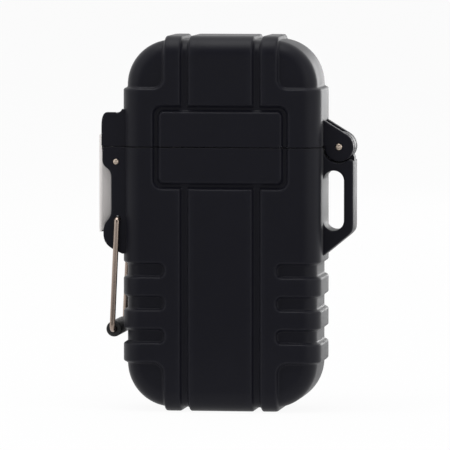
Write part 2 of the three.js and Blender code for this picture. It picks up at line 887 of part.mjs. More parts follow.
function usbSocket() {
  const z0 = topBoardZ + seatGap;
  const sheet = 0.35;
  const tongue = box(socketX - 0.35, socketX + 0.35, -3.2, 3.2, z0 + sheet / 2, plateTop - 1);
  return socketBlock(0, z0, plateTop)
    .subtract(socketBlock(-sheet, z0 + 1.2, plateTop + 1))
    .add(tongue);
}

function chargeLight() {
  return post(lightRadius, topBoardZ + seatGap, plateTop + 0.1, ...lightPlace);
}

// ---- Power and high voltage inside the body ----

const boardY = bayBackY - 2.4;

function topBoard() {
  const halfY = bayBackY - looseGap;
  const outline = roundedRect(1.2, bayHalf - looseGap, -halfY, halfY, 0.5);
  return upright(outline, topBoardZ - boardThick, topBoardZ);
}

function mainBoard() {
  const half = bayHalf - looseGap;
  const outline = roundedRect(-half, half, bayZ + looseGap, stackZ, 0.6);
  return prism(outline, boardY - boardThick, boardY);
}

function controllerChip() {
  return box(-3.5, 3.5, boardY + seatGap, boardY + 1.1, stackZ - 14, stackZ - 7);
}

const stackFrontY = -(faceY - wall - 1);
const cellLeft = -(bayHalf - looseGap);
const transformerRight = bayHalf - looseGap;
const transformerLeft = transformerRight - transformerWidth;

function batteryCell() {
  const outline = roundedRect(cellLeft, transformerLeft - leadChannel, bayZ + looseGap, stackZ, 1.5);
  return prism(outline, stackFrontY, stackFrontY + cellDepth);
}

function transformer(index) {
  const room = (stackZ - bayZ - looseGap) / 2;
  const z0 = bayZ + looseGap + index * room;
  const outline = roundedRect(transformerLeft, transformerRight, z0, z0 + room - 1, 1);
  return prism(outline, stackFrontY, boardY - boardThick - looseGap);
}

// Each lead climbs beside its transformer and crosses over to one electrode.
function highVoltageLead(index) {
  const { x, y } = electrodePlaces[index];
  const riserX = transformerLeft - leadChannel / 2;
  const riserY = stackFrontY + 1.2 + index * 1.6;
  const room = (stackZ - bayZ) / 2;
  const startZ = bayZ + room * (index < 2 ? 0.5 : 1.5);
  const crossZ = index % 2 ? topBoardZ - boardThick - 1.2 : stackZ + 1.6;
  const corners = [
    new THREE.Vector3(riserX, riserY, startZ),
    new THREE.Vector3(riserX, riserY, crossZ),
    new THREE.Vector3(x, y, crossZ),
    new THREE.Vector3(x, y, stemZ - looseGap),
  ];
  return tube(roundCorners(corners, 1.3, 5), leadRadius);
}

// ---- Assembly ----

const lighter = new THREE.Group();

const body = new THREE.Group();
addPiece(body, "body_shell", bodyShell(), "shell");
addPiece(body, "neck_frame", neckFrame(), "frame");
addPiece(body, "neck_seal", neckSeal(), "seal");
addPiece(body, "deck_plate", deckPlate(), "trim");
screwPlaces.forEach(([x, y], i) => {
  const screw = meshOf(`deck_screw_${i + 1}`, deckScrew(), "steel");
  screw.position.set(x, y, 0);
  body.add(screw);
});
addPiece(body, "ceramic_head", ceramicHead(), "ceramic");
electrodePlaces.forEach((place, i) => {
  addPiece(body, `electrode_${i + 1}`, electrode(place), "tungsten");
  addPiece(body, `high_voltage_lead_${i + 1}`, highVoltageLead(i), "lead");
});
const button = meshOf("ignition_button", ignitionButton(), "steel");
button.position.set(buttonX, 0, 0);
body.add(button);
addPiece(body, "tact_switch", tactSwitch(), "trim");
addPiece(body, "usb_socket", usbSocket(), "steel");
addPiece(body, "charge_light", chargeLight(), "lens");
addPiece(body, "top_board", topBoard(), "board");
addPiece(body, "main_board", mainBoard(), "board");
addPiece(body, "controller_chip", controllerChip(), "trim");
addPiece(body, "battery_cell", batteryCell(), "cell");
addPiece(body, "arc_transformer_1", transformer(0), "potting");
addPiece(body, "arc_transformer_2", transformer(1), "potting");
const hingePin = meshOf("hinge_pin", domedPin(hingePinRadius, hingeDepth / 2 + pinProud), "steel");
hingePin.position.set(hingeX, 0, seamZ);
body.add(hingePin);
lighter.add(body);

const lid = new THREE.Group();
lid.position.set(hingeX, 0, seamZ);
addPiece(lid, "lid_shell", lidShell(), "shell");
addPiece(lid, "lid_liner", lidLiner(), "steel");
addPiece(lid, "latch_keeper", latchKeeper(), "shell");
lighter.add(lid);

const latch = new THREE.Group();
latch.position.set(-(sideX + latchPinOut), 0, seamZ + latchPinDrop);
addPiece(latch, "latch_lever", latchLever(), "steel");
latch.add(meshOf("latch_spring", geometryOf(latchSpring()), "wire"));
latch.add(meshOf("latch_pin", domedPin(latchPinRadius, earY + pinProud), "steel"));
lighter.add(latch);

const bail = new THREE.Group();
bail.position.set(-(sideX + bailPivotOut), 0, seamZ + bailPivotDrop);
bail.rotation.y = bailHang();
bail.add(meshOf("bail_wire", geometryOf(bailWireSolid()), "wire"));
const roller = meshOf("bail_sleeve", sleeve(), "rubber");
roller.position.set(0, 0, -bailLength);
bail.add(roller);
lighter.add(bail);

export default lighter;
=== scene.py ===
import json
import math

import bmesh
import bpy
import numpy as np
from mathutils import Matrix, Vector
from mathutils.geometry import tessellate_polygon


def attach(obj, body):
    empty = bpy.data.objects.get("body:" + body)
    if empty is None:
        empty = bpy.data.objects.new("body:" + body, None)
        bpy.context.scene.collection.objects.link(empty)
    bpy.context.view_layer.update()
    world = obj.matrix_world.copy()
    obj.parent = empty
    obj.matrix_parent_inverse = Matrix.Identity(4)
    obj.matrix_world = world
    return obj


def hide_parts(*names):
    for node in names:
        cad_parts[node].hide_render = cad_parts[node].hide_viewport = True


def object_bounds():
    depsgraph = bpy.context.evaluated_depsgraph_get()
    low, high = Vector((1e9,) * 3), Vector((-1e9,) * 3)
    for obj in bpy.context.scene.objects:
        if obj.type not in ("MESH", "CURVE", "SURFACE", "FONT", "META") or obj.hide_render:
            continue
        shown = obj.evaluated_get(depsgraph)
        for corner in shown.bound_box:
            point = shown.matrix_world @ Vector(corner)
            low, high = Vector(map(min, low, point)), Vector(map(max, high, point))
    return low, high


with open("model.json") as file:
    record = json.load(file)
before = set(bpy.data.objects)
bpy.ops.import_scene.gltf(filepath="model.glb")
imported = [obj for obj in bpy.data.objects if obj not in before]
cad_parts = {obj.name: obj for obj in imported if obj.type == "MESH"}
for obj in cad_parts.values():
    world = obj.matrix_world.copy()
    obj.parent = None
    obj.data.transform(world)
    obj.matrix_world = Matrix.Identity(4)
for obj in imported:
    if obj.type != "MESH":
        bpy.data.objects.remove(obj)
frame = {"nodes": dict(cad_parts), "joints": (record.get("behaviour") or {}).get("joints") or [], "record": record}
cadLow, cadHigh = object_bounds()
scene = bpy.context.scene
mm = 0.001  # shapes below are worked out in millimetres
pivots = {j["name"]: [c / mm for c in j["pos_m"]] for j in frame["joints"] if "pos_m" in j}
print("frame loaded,", len(frame["nodes"]), "nodes")


def addObject(name, data):
    made = bpy.data.objects.new(name, data)
    scene.collection.objects.link(made)
    return made


cameraSettings = {
    "yaw": 7.5,  # degrees, round towards the hinge
    "elevation": 3.5, "distance": 1.5, "lens": 552, "aimX": 0.00112, "aimZ": 0.041, "clip": (0.05, 60),
}


def makeCamera(settings):
    yaw, up = math.radians(settings["yaw"]), math.radians(settings["elevation"])
    back = Vector((math.sin(yaw) * math.cos(up), -math.cos(yaw) * math.cos(up), math.sin(up)))
    aim = Vector((settings["aimX"], cadLow.y, settings["aimZ"]))
    data = bpy.data.cameras.new("camera")
    data.lens = settings["lens"]
    data.sensor_width = 36
    data.clip_start, data.clip_end = settings["clip"]
    camera = scene.camera = addObject("camera", data)
    camera.location = aim + back * settings["distance"]
    camera.rotation_euler = (-back).to_track_quat("-Z", "Y").to_euler()


# A flat outline's arc, from one angle in degrees to another.
def arc(x, z, radius, start, end, steps=12):
    turns = [math.radians(start + (end - start) * i / steps) for i in range(steps + 1)]
    return [(x + radius * math.cos(t), z + radius * math.sin(t)) for t in turns]


# A smooth curve from a to d, drawn towards b and c, without its first point.
def bend(a, b, c, d, steps=10):
    points = []
    for i in range(1, steps + 1):
        t = i / steps
        weights = ((1 - t) ** 3, 3 * t * (1 - t) ** 2, 3 * t * t * (1 - t), t ** 3)
        points.append(tuple(sum(w * p[k] for w, p in zip(weights, (a, b, c, d))) for k in (0, 1)))
    return points


# Adds one node. An input given as a socket is linked, any other is set.
def put(tree, kind, inputs=None, **settings):
    node = tree.nodes.new(kind)
    for key, value in settings.items():
        setattr(node, key, value)
    for key, value in (inputs or {}).items():
        socket = node.inputs[key]
        if isinstance(value, bpy.types.NodeSocket):
            tree.links.new(value, socket)
        else:
            socket.default_value = value
    return node


def maths(tree, operation, a, b=None):
    inputs = {0: a} if b is None else {0: a, 1: b}
    return put(tree, "ShaderNodeMath", inputs, operation=operation).outputs[0]


def mixValues(tree, factor, a, b):
    inputs = {"Factor": factor, "A": a, "B": b}
    return put(tree, "ShaderNodeMix", inputs, data_type="FLOAT").outputs[0]


def mixShaders(tree, factor, a, b):
    return put(tree, "ShaderNodeMixShader", {0: factor, 1: a.outputs[0], 2: b.outputs[0]})


def noise(tree, vector, scale, detail, **more):
    inputs = {"Vector": vector, "Scale": scale, "Detail": detail, **more}
    return put(tree, "ShaderNodeTexNoise", inputs).outputs[0]


def spread(tree, value, low, high, start=0.3, end=0.7, curve="LINEAR"):
    limits = {"Value": value, "From Min": start, "From Max": end, "To Min": low, "To Max": high}
    return put(tree, "ShaderNodeMapRange", limits, interpolation_type=curve).outputs["Result"]


def emptyMaterial(name):
    material = bpy.data.materials.new(name)
    material.use_nodes = True
    material.node_tree.nodes.clear()
    return material, material.node_tree


def finishMaterial(material, shader):
    put(material.node_tree, "ShaderNodeOutputMaterial", {"Surface": shader.outputs[0]})
    return material


stageSettings = {
    "floorRadius": 12, "floorSides": 64, "floorColour": (0.86, 0.86, 0.87, 1),
    "whiteShare": 0.93,  # of the floor that is plain white to the camera
    "behind": 1.0,  # surroundings behind the object, for reflections
    "inFront": 0.07,
    "horizon": 0.62,  # the band round the horizon in front
    "ambient": 0.5,
    "floorFade": (0.12, 0.45),  # from the object outwards, where the floor reaches the horizon's level
    "floorTurn": (-0.12, 0.03),  # from front to back, where it reaches the level behind
    "skyFade": (0.08, 0.26),  # upwards, where the sky leaves the horizon's level
    "skyTurn": (-0.6, 0.25),
}


def floorMaterial(settings):
    material, tree = emptyMaterial("paleFloor")
    path = put(tree, "ShaderNodeLightPath").outputs
    seen = maths(tree, "MAXIMUM", path["Is Camera Ray"], path["Is Glossy Ray"])
    seen = maths(tree, "MAXIMUM", seen, path["Is Transmission Ray"])
    share = maths(tree, "MULTIPLY", seen, settings["whiteShare"])
    lit = put(tree, "ShaderNodeBsdfDiffuse", {"Color": settings["floorColour"]})
    place = put(tree, "ShaderNodeTexCoord").outputs["Object"]
    reach = put(tree, "ShaderNodeVectorMath", {0: place}, operation="LENGTH").outputs["Value"]
    depth = put(tree, "ShaderNodeSeparateXYZ", {0: place}).outputs["Y"]
    near = spread(tree, reach, settings["inFront"], settings["horizon"], *settings["floorFade"], "SMOOTHSTEP")
    mirrored = spread(tree, depth, near, settings["behind"], *settings["floorTurn"], "SMOOTHSTEP")
    strength = mixValues(tree, path["Is Glossy Ray"], 1.0, mirrored)
    white = put(tree, "ShaderNodeEmission", {"Color": (1, 1, 1, 1), "Strength": strength})
    top = mixShaders(tree, share, lit, white)
    under = put(tree, "ShaderNodeBsdfTransparent")
    side = put(tree, "ShaderNodeNewGeometry").outputs["Backfacing"]
    return finishMaterial(material, mixShaders(tree, side, top, under))


def makeFloor(settings):
    sides = settings["floorSides"]
    rim = [(*p, cadLow.z - 0.02 * mm) for p in arc(0, 0, settings["floorRadius"], 0, 360, sides)[:-1]]
    mesh = bpy.data.meshes.new("floor")
    mesh.from_pydata(rim, [], [list(range(sides))])
    mesh.materials.append(floorMaterial(settings))
    addObject("floor", mesh)


def makeWorld(settings):
    world = bpy.data.worlds.new("surroundings")
    world.use_nodes = True
    tree = world.node_tree
    tree.nodes.clear()
    coords = put(tree, "ShaderNodeTexCoord")
    axes = put(tree, "ShaderNodeSeparateXYZ", {0: coords.outputs["Generated"]}).outputs
    above = maths(tree, "ABSOLUTE", axes["Z"])
    front = spread(tree, above, settings["horizon"], settings["inFront"], *settings["skyFade"], "SMOOTHSTEP")
    mirrored = spread(tree, axes["Y"], front, settings["behind"], *settings["skyTurn"], "SMOOTHSTEP")
    path = put(tree, "ShaderNodeLightPath").outputs
    forDiffuse = mixValues(tree, path["Is Diffuse Ray"], mirrored, settings["ambient"])
    seen = maths(tree, "MAXIMUM", path["Is Camera Ray"], path["Is Transmission Ray"])
    level = mixValues(tree, seen, forDiffuse, 1.0)
    light = put(tree, "ShaderNodeBackground", {"Color": (1, 1, 1, 1), "Strength": level})
    put(tree, "ShaderNodeOutputWorld", {"Surface": light.outputs[0]})
    scene.world = world


lampAim = Vector((0, 0, 0.04))
lampSettings = [
    {"name": "overhead", "at": (-0.1, -0.25, 1.3), "size": (1.0, 0.8), "power": 9.0},
    {"name": "leftBox", "at": (-1.3, -0.85, 0.7), "size": (1.3, 1.3), "power": 5.0},
    {"name": "rightBox", "at": (1.4, -0.85, 0.6), "size": (1.3, 1.3), "power": 6.0},
    {"name": "rightRim", "at": (0.24, 0.8, 0.125), "size": (0.3, 0.24), "power": 0.8},
]


def makeLamp(settings):
    data = bpy.data.lights.new(settings["name"], "AREA")
    data.shape = "RECTANGLE"
    data.size, data.size_y = settings["size"]
    data.energy = settings["power"]
    lamp = addObject(settings["name"], data)
    lamp.location = settings["at"]
    lamp.rotation_euler = (lampAim - lamp.location).to_track_quat("-Z", "Y").to_euler()


makeCamera(cameraSettings)
makeFloor(stageSettings)
makeWorld(stageSettings)
for lamp in lampSettings:
    makeLamp(lamp)
scene.view_settings.view_transform = "Standard"
print("stage ready")


# A new node group with its named inputs and outputs.
def nodeTree(name, kind, inputs, outputs):
    tree = bpy.data.node_groups.new(name, kind)
    for title, socketKind, value in inputs:
        socket = tree.interface.new_socket(title, in_out="INPUT", socket_type="NodeSocket" + socketKind)
        if value is not None:
            socket.default_value = value
    for title, socketKind in outputs:
        tree.interface.new_socket(title, in_out="OUTPUT", socket_type="NodeSocket" + socketKind)
    return tree, tree.nodes.new("NodeGroupInput").outputs, tree.nodes.new("NodeGroupOutput").inputs


# Shader effects that several materials share. All of them start from a place on the piece.
def effectTree(name, inputs, *outputs):
    inputs = [("Vector", "Vector", None), *inputs]
    return nodeTree(name, "ShaderNodeTree", inputs, [(title, "Float") for title in outputs])


def giveOut(tree, result, **values):
    for title, value in values.items():
        tree.links.new(value, result[title])
    return tree


# Spark-eroded mould texture: a fine uneven grain with soft patches.
def makeMouldGrain():
    tree, given, result = effectTree("mouldGrain", [("Scale", "Float", 4000.0)], "Height", "Patches")
    place, scale = given["Vector"], given["Scale"]
    fine = noise(tree, place, scale, 3.0, Roughness=0.62)
    cells = put(tree, "ShaderNodeTexVoronoi", {"Vector": place, "Scale": scale}).outputs["Distance"]
    patches = noise(tree, place, 160.0, 4.0)
    return giveOut(tree, result, Height=mixValues(tree, 0.35, fine, cells), Patches=patches)


# Painted highlight along the crests of the pattern's edges: a lighter colour standing in for the sheen of light
# there, broken up so that it never reads as a drawn line.
def makePaintedCrestSheen():
    inputs = [("Edge", "Float", 0.0), ("Scale", "Float", 900.0)]
    tree, given, result = effectTree("paintedCrestSheen", inputs, "Mask")
    sheenBreakUp = spread(tree, noise(tree, given["Vector"], given["Scale"], 5.0), 0.25, 1.0, 0.35, 0.7)
    return giveOut(tree, result, Mask=maths(tree, "MULTIPLY", given["Edge"], sheenBreakUp))


# Fine drawn lines along one axis, as rolling and brushing leave in metal.
def makeDrawnLines():
    inputs = [("Across", "Vector", (4000.0, 4000.0, 120.0))]
    tree, given, result = effectTree("drawnLines", inputs, "Height", "Streaks")
    both = {0: given["Vector"], 1: given["Across"]}
    stretched = put(tree, "ShaderNodeVectorMath", both, operation="MULTIPLY").outputs[0]
    lines, broad = noise(tree, stretched, 1.0, 3.0), noise(tree, stretched, 0.13, 2.0)
    return giveOut(tree, result, Height=lines, Streaks=broad)


# Handling marks: faint smears and a little dust.
def makeHandling():
    tree, given, result = effectTree("handling", [("Scale", "Float", 70.0)], "Smears", "Dust")
    smears = noise(tree, given["Vector"], given["Scale"], 6.0, Distortion=0.6)
    dust = spread(tree, noise(tree, given["Vector"], 2600.0, 2.0), 0.0, 1.0, 0.68, 0.78)
    return giveOut(tree, result, Smears=smears, Dust=dust)


effects = {tree.name: tree for tree in (makeMouldGrain(), makePaintedCrestSheen(), makeDrawnLines(), makeHandling())}


def effect(tree, name, **inputs):
    return put(tree, "ShaderNodeGroup", inputs, node_tree=effects[name]).outputs


def mixColours(tree, factor, a, b):
    node = put(tree, "ShaderNodeMix", {"Factor": factor}, data_type="RGBA")
    for socket, value in zip((s for s in node.inputs if s.type == "RGBA"), (a, b)):
        if isinstance(value, bpy.types.NodeSocket):
            tree.links.new(value, socket)
        else:
            socket.default_value = (*value, 1)
    return next(s for s in node.outputs if s.type == "RGBA")


def bump(tree, height, strength, distance):
    inputs = {"Height": height, "Strength": strength, "Distance": distance}
    return put(tree, "ShaderNodeBump", inputs).outputs["Normal"]


def surfaceMaterial(name):
    material, tree = emptyMaterial(name)
    return material, tree, put(tree, "ShaderNodeTexCoord").outputs["Object"]


def finishSurface(material, inputs):
    return finishMaterial(material, put(material.node_tree, "ShaderNodeBsdfPrincipled", inputs))


dustColour = (0.35, 0.34, 0.33)
plainMould = {"grainScale": 4200.0, "grain": 0.25, "dust": 0.08, "specular": 0.5, "sheen": 0.0, "coat": 0.0}
plainMetal = {"skinScale": 5200.0, "skin": 0.5, "stain": 0.2, "relief": 0.2, "metallic": 1.0}


# Moulded plastic and rubber: colour, roughness and grain differ, the build-up is the same.
def mouldedMaterial(name, look):
    material, tree, place = surfaceMaterial(name)
    look = {**plainMould, "paintedSheen": look["light"], **look}
    grain = effect(tree, "mouldGrain", Vector=place, Scale=look["grainScale"])
    hands = effect(tree, "handling", Vector=place)
    # Painted highlight: the crests of the pattern's edges are lightened, standing in for the sheen of light along
    # them.
    edge = put(tree, "ShaderNodeAttribute", attribute_name="crest").outputs["Fac"]
    paintedSheen = effect(tree, "paintedCrestSheen", Vector=place, Edge=edge)["Mask"]
    colour = mixColours(tree, grain["Patches"], look["dark"], look["light"])
    colour = mixColours(tree, paintedSheen, colour, look["paintedSheen"])
    colour = mixColours(tree, maths(tree, "MULTIPLY", hands["Dust"], look["dust"]), colour, dustColour)
    inputs = {
        "Base Color": colour,
        "Roughness": spread(tree, hands["Smears"], look["roughness"] - 0.04, look["roughness"] + 0.05),
        "Specular IOR Level": look["specular"],
        "Sheen Weight": look["sheen"],
        "Sheen Roughness": 0.35,
        "Coat Weight": look["coat"],
        "Coat Roughness": 0.25,
        "Normal": bump(tree, grain["Height"], look["grain"], 0.02 * mm),
    }
    return finishSurface(material, inputs)


# Sheet, wire and turned metal, with lines along the piece and a blasted or rolled skin.
def metalMaterial(name, look):
    material, tree, place = surfaceMaterial(name)
    look = {**plainMetal, **look}
    lines = effect(tree, "drawnLines", Vector=place, Across=look["across"])
    skin = effect(tree, "mouldGrain", Vector=place, Scale=look["skinScale"])
    hands = effect(tree, "handling", Vector=place, Scale=110.0)
    colour = mixColours(tree, lines["Streaks"], look["dark"], look["light"])
    stain = spread(tree, hands["Smears"], 0.0, look["stain"], 0.45, 0.75)
    height = mixValues(tree, look["skin"], lines["Height"], skin["Height"])
    inputs = {
        "Base Color": mixColours(tree, stain, colour, look["dark"]),
        "Metallic": look["metallic"],
        "Roughness": spread(tree, lines["Height"], look["roughness"] - 0.05, look["roughness"] + 0.07),
        "Normal": bump(tree, height, look["relief"], 0.01 * mm),
    }
    return finishSurface(material, inputs)


looks = {
    "shell": {
        "dark": (0.0036, 0.0036, 0.0076), "light": (0.0048, 0.0048, 0.0096),
        # The first colour on the next line is a painted highlight for the crests of the pattern's edges.
        "paintedSheen": (0.009, 0.009, 0.014), "roughness": 0.44, "specular": 0.2, "sheen": 0.1,
        "grain": 0.3, "dust": 0.012,
    },
    "frame": {"dark": (0.012, 0.012, 0.013), "light": (0.02, 0.02, 0.021), "roughness": 0.55},
    "trim": {
        "dark": (0.006, 0.006, 0.007), "light": (0.009, 0.009, 0.01), "roughness": 0.3,
        "grain": 0.08, "coat": 0.3,
    },
    "seal": {"dark": (0.36, 0.055, 0.014), "light": (0.46, 0.08, 0.02), "roughness": 0.5, "grain": 0.12},
    "rubber": {"dark": (0.006, 0.006, 0.007), "light": (0.012, 0.012, 0.013), "roughness": 0.5},
    "ceramic": {
        "dark": (0.66, 0.62, 0.54), "light": (0.78, 0.75, 0.68), "roughness": 0.48, "grain": 0.35,
        "grainScale": 2600.0, "dust": 0.02,
    },
    "lead": {"dark": (0.6, 0.57, 0.5), "light": (0.72, 0.69, 0.62), "roughness": 0.45, "grain": 0.1},
    "cell": {
        "dark": (0.02, 0.09, 0.27), "light": (0.03, 0.13, 0.36), "roughness": 0.3, "grain": 0.1,
        "grainScale": 900.0, "coat": 0.4,
    },
    "potting": {"dark": (0.012, 0.009, 0.007), "light": (0.022, 0.017, 0.013), "roughness": 0.28},
}
# "across" is how many lines to a metre lie along each axis.
metalLooks = {
    "steel": {
        "dark": (0.5, 0.49, 0.47), "light": (0.66, 0.65, 0.63), "roughness": 0.28,
        "across": (2600.0, 2600.0, 2600.0),
    },
    "button_metal": {
        "dark": (0.5, 0.5, 0.51), "light": (0.64, 0.64, 0.66), "roughness": 0.3,
        "across": (3000.0, 3000.0, 300.0),
    },
    "pin_metal": {
        "dark": (0.56, 0.45, 0.36), "light": (0.78, 0.66, 0.55), "roughness": 0.3, "metallic": 0.75,
        "across": (900.0, 900.0, 900.0), "relief": 0.05,
    },
    "liner": {
        "dark": (0.4, 0.4, 0.41), "light": (0.52, 0.52, 0.53), "roughness": 0.36,
        "across": (300.0, 300.0, 3600.0),
    },
    "lever_steel": {
        "dark": (0.66, 0.63, 0.62), "light": (0.84, 0.81, 0.79), "roughness": 0.42,
        "across": (2400.0, 2400.0, 160.0), "skin": 0.7, "skinScale": 2300.0, "relief": 0.6,
        "metallic": 0.72,
    },
    "wire_steel": {
        "dark": (0.29, 0.22, 0.18), "light": (0.52, 0.43, 0.37), "roughness": 0.27,
        "across": (2400.0, 2400.0, 90.0), "relief": 0.12,
    },
    "tungsten": {
        "dark": (0.2, 0.19, 0.19), "light": (0.38, 0.37, 0.36), "roughness": 0.35,
        "across": (2400.0, 300.0, 2400.0),
    },
    "gold": {
        "dark": (0.7, 0.48, 0.16), "light": (0.85, 0.62, 0.25), "roughness": 0.25,
        "across": (2600.0, 2600.0, 2600.0),
    },
}


# Circuit board: solder mask with copper tracks showing through as a lighter, raised pattern.
def boardMaterial():
    material, tree, place = surfaceMaterial("board")
    bricks = {"Vector": place, "Scale": 700.0, "Mortar Size": 0.06, "Color1": (0, 0, 0, 1)}
    tracks = put(tree, "ShaderNodeTexBrick", bricks, offset=0.35).outputs["Fac"]
    patches = effect(tree, "mouldGrain", Vector=place, Scale=3000.0)["Patches"]
    colour = mixColours(tree, patches, (0.006, 0.055, 0.022), (0.009, 0.08, 0.032))
    inputs = {
        "Base Color": mixColours(tree, tracks, colour, (0.02, 0.15, 0.06)),
        "Roughness": spread(tree, patches, 0.26, 0.36),
        "Normal": bump(tree, tracks, 0.4, 0.03 * mm),
    }
    return finishSurface(material, inputs)


# Light pipe: frosted, slightly blue plastic.
def lensMaterial():
    material, tree, place = surfaceMaterial("lens")
    grain = effect(tree, "mouldGrain", Vector=place, Scale=2500.0)
    inputs = {
        "Base Color": mixColours(tree, grain["Patches"], (0.42, 0.55, 0.8), (0.55, 0.68, 0.9)),
        "Roughness": spread(tree, grain["Height"], 0.18, 0.3),
        "Transmission Weight": 0.35,
        "Subsurface Weight": 0.2,
        "Normal": bump(tree, grain["Height"], 0.1, 0.01 * mm),
    }
    return finishSurface(material, inputs)


materials = {name: mouldedMaterial(name, look) for name, look in looks.items()}
materials.update({name: metalMaterial(name, look) for name, look in metalLooks.items()})
materials["board"] = boardMaterial()
materials["lens"] = lensMaterial()
print("materials ready,", len(materials))


# Rounds the corners of a path in any number of dimensions. radii is one number, or one for each point.
def rounded(points, radii, closed=True, steps=6):
    points = [np.array(p, float) for p in points]
    count = len(points)
    radii = [radii] * count if np.isscalar(radii) else radii
    result = []
    for i, corner in enumerate(points):
        if radii[i] <= 0 or (not closed and i in (0, count - 1)):
            result.append(corner)
            continue
        back, ahead = points[i - 1] - corner, points[(i + 1) % count] - corner
        room = min(np.linalg.norm(back), np.linalg.norm(ahead)) * 0.499
        back, ahead = back / np.linalg.norm(back), ahead / np.linalg.norm(ahead)
        half = math.acos(np.clip(back @ ahead, -1, 1)) / 2
        if half > math.radians(89):
            result.append(corner)
            continue
        reach = min(radii[i] / math.tan(half), room)
        radius = reach * math.tan(half)
        middle = (back + ahead) / np.linalg.norm(back + ahead)
        centre = corner + middle * radius / math.sin(half)
        start, end = corner + back * reach - centre, corner + ahead * reach - centre
        sweep = math.pi - 2 * half
        for k in range(steps + 1):
            t = sweep * k / steps
            turned = (start * math.sin(sweep - t) + end * math.sin(t)) / math.sin(sweep)
            result.append(centre + turned)
    return [tuple(p) for p in result]


def newObject(name, points, faces, material=None):
    mesh = bpy.data.meshes.new(name)
    mesh.from_pydata([[c * mm for c in p] for p in points], [], [list(f) for f in faces])
    if material:
        mesh.materials.append(materials[material])
    return addObject(name, mesh)


def mergeAndFace(made, distance=1e-7):
    bm = bmesh.new()
    bm.from_mesh(made.data)
    bmesh.ops.remove_doubles(bm, verts=bm.verts, dist=distance)
    bmesh.ops.recalc_face_normals(bm, faces=bm.faces)
    bm.to_mesh(made.data)
    bm.free()


def shade(made, sharpest=32):
    bm = bmesh.new()
    bm.from_mesh(made.data)
    limit = math.radians(sharpest)
    for face in bm.faces:
        face.smooth = True
    for edge in bm.edges:
        edge.smooth = len(edge.link_faces) == 2 and edge.calc_face_angle(0) < limit
    bm.to_mesh(made.data)
    bm.free()


def applyModifiers(made):
    graph = bpy.context.evaluated_depsgraph_get()
    graph.update()
    mesh = bpy.data.meshes.new_from_object(made.evaluated_get(graph), depsgraph=graph)
    old = made.data
    made.modifiers.clear()
    made.data = mesh
    mesh.name = made.name
    if old and old.users == 0:
        bpy.data.meshes.remove(old)
    return made


def combine(target, operation, others):
    for other in others:
        cut = target.modifiers.new(other.name, "BOOLEAN")
        cut.operation = operation
        cut.solver = "MANIFOLD"
        cut.object = other
    applyModifiers(target)
    for other in others:
        bpy.data.objects.remove(other)


def bevelEdges(made, width, angle=40):
    soft = made.modifiers.new("softEdges", "BEVEL")
    soft.width = width * mm
    soft.segments = 2
    soft.limit_method = "ANGLE"
    soft.angle_limit = math.radians(angle)
    soft.use_clamp_overlap = True
    return applyModifiers(made)


def signedArea(loop):
    return sum(a[0] * b[1] - b[0] * a[1] for a, b in zip(loop, loop[1:] + loop[:1])) / 2


def insetLoop(loop, distance):
    points = np.array(loop, float)
    ahead = np.roll(points, -1, axis=0) - points
    ahead /= np.linalg.norm(ahead, axis=1)[:, None]
    left = np.stack([-ahead[:, 1], ahead[:, 0]], axis=1)
    both = left + np.roll(left, 1, axis=0)
    both /= np.maximum(np.linalg.norm(both, axis=1), 1e-6)[:, None]
    sharpLimit = 0.45  # keeps a sharp corner from running out too far
    miter = 1 / np.maximum(np.sum(both * left, axis=1), sharpLimit)
    return points + both * (distance * miter)[:, None]


# Pushes an outline with holes through the given axis, with rounded rims.
def slab(name, loops, start, end, rim=0.0, axis="y", material=None):
    place = {"y": lambda a, b, t: (a, t, b), "z": lambda a, b, t: (a, b, t)}[axis]
    cleaned = []
    for k, loop in enumerate(loops):
        loop = [p for i, p in enumerate(loop) if math.dist(p, loop[i - 1]) > 1e-4]
        wrong = signedArea(loop) < 0 if k == 0 else signedArea(loop) > 0
        cleaned.append(loop[::-1] if wrong else loop)
    levels = [(0.0, start), (0.0, end)]
    if rim > 0:
        turns = [math.pi / 2 * i / 4 for i in range(5)]
        low = [(rim * (1 - math.sin(t)), start + rim * (1 - math.cos(t))) for t in turns]
        levels = low + [(inset, start + end - t) for inset, t in reversed(low)]
    points, faces, rings = [], [], []
    for loop in cleaned:
        rows = []
        for inset, t in levels:
            rows.append(range(len(points), len(points) + len(loop)))
            points += [place(a, b, t) for a, b in insetLoop(loop, inset)]
        for low, high in zip(rows, rows[1:]):
            for i in range(len(loop)):
                j = (i + 1) % len(loop)
                faces.append((low[i], low[j], high[j], high[i]))
        rings.append(rows)
    for end in (0, -1):
        flat = [[Vector((*p, 0)) for p in insetLoop(loop, levels[end][0])] for loop in cleaned]
        index = [i for rows in rings for i in rows[end]]
        faces += [tuple(index[i] for i in face) for face in tessellate_polygon(flat)]
    made = newObject(name, points, faces, material)
    mergeAndFace(made)
    return made


# Turns a profile of (radius, place in Y) about an axis through (x, z). A closed profile makes a ring.
def lathe(name, profile, x, z, segments, material, closed=False):
    turns = [2 * math.pi * i / segments for i in range(segments)]
    points = [(x + r * math.cos(a), t, z + r * math.sin(a)) for r, t in profile for a in turns]
    rows = len(profile)
    faces = []
    for row in range(rows if closed else rows - 1):
        low, high = row * segments, (row + 1) % rows * segments
        for i in range(segments):
            j = (i + 1) % segments
            faces.append((low + i, low + j, high + j, high + i))
    made = newObject(name, points, faces, material)
    mergeAndFace(made)
    return made


# Geometry trees, for what repeats, follows a path or follows a surface.
def geometryTree(name, *inputs):
    inputs = [("Geometry", "Geometry", None), *inputs, ("Material", "Material", None)]
    return nodeTree(name, "GeometryNodeTree", inputs, [("Geometry", "Geometry")])


def finishTree(tree, geometry, given, result):
    real = put(tree, "GeometryNodeRealizeInstances", {0: geometry}).outputs[0]
    painted = put(tree, "GeometryNodeSetMaterial", {"Geometry": real, "Material": given["Material"]})
    return giveOut(tree, result, Geometry=painted.outputs[0])


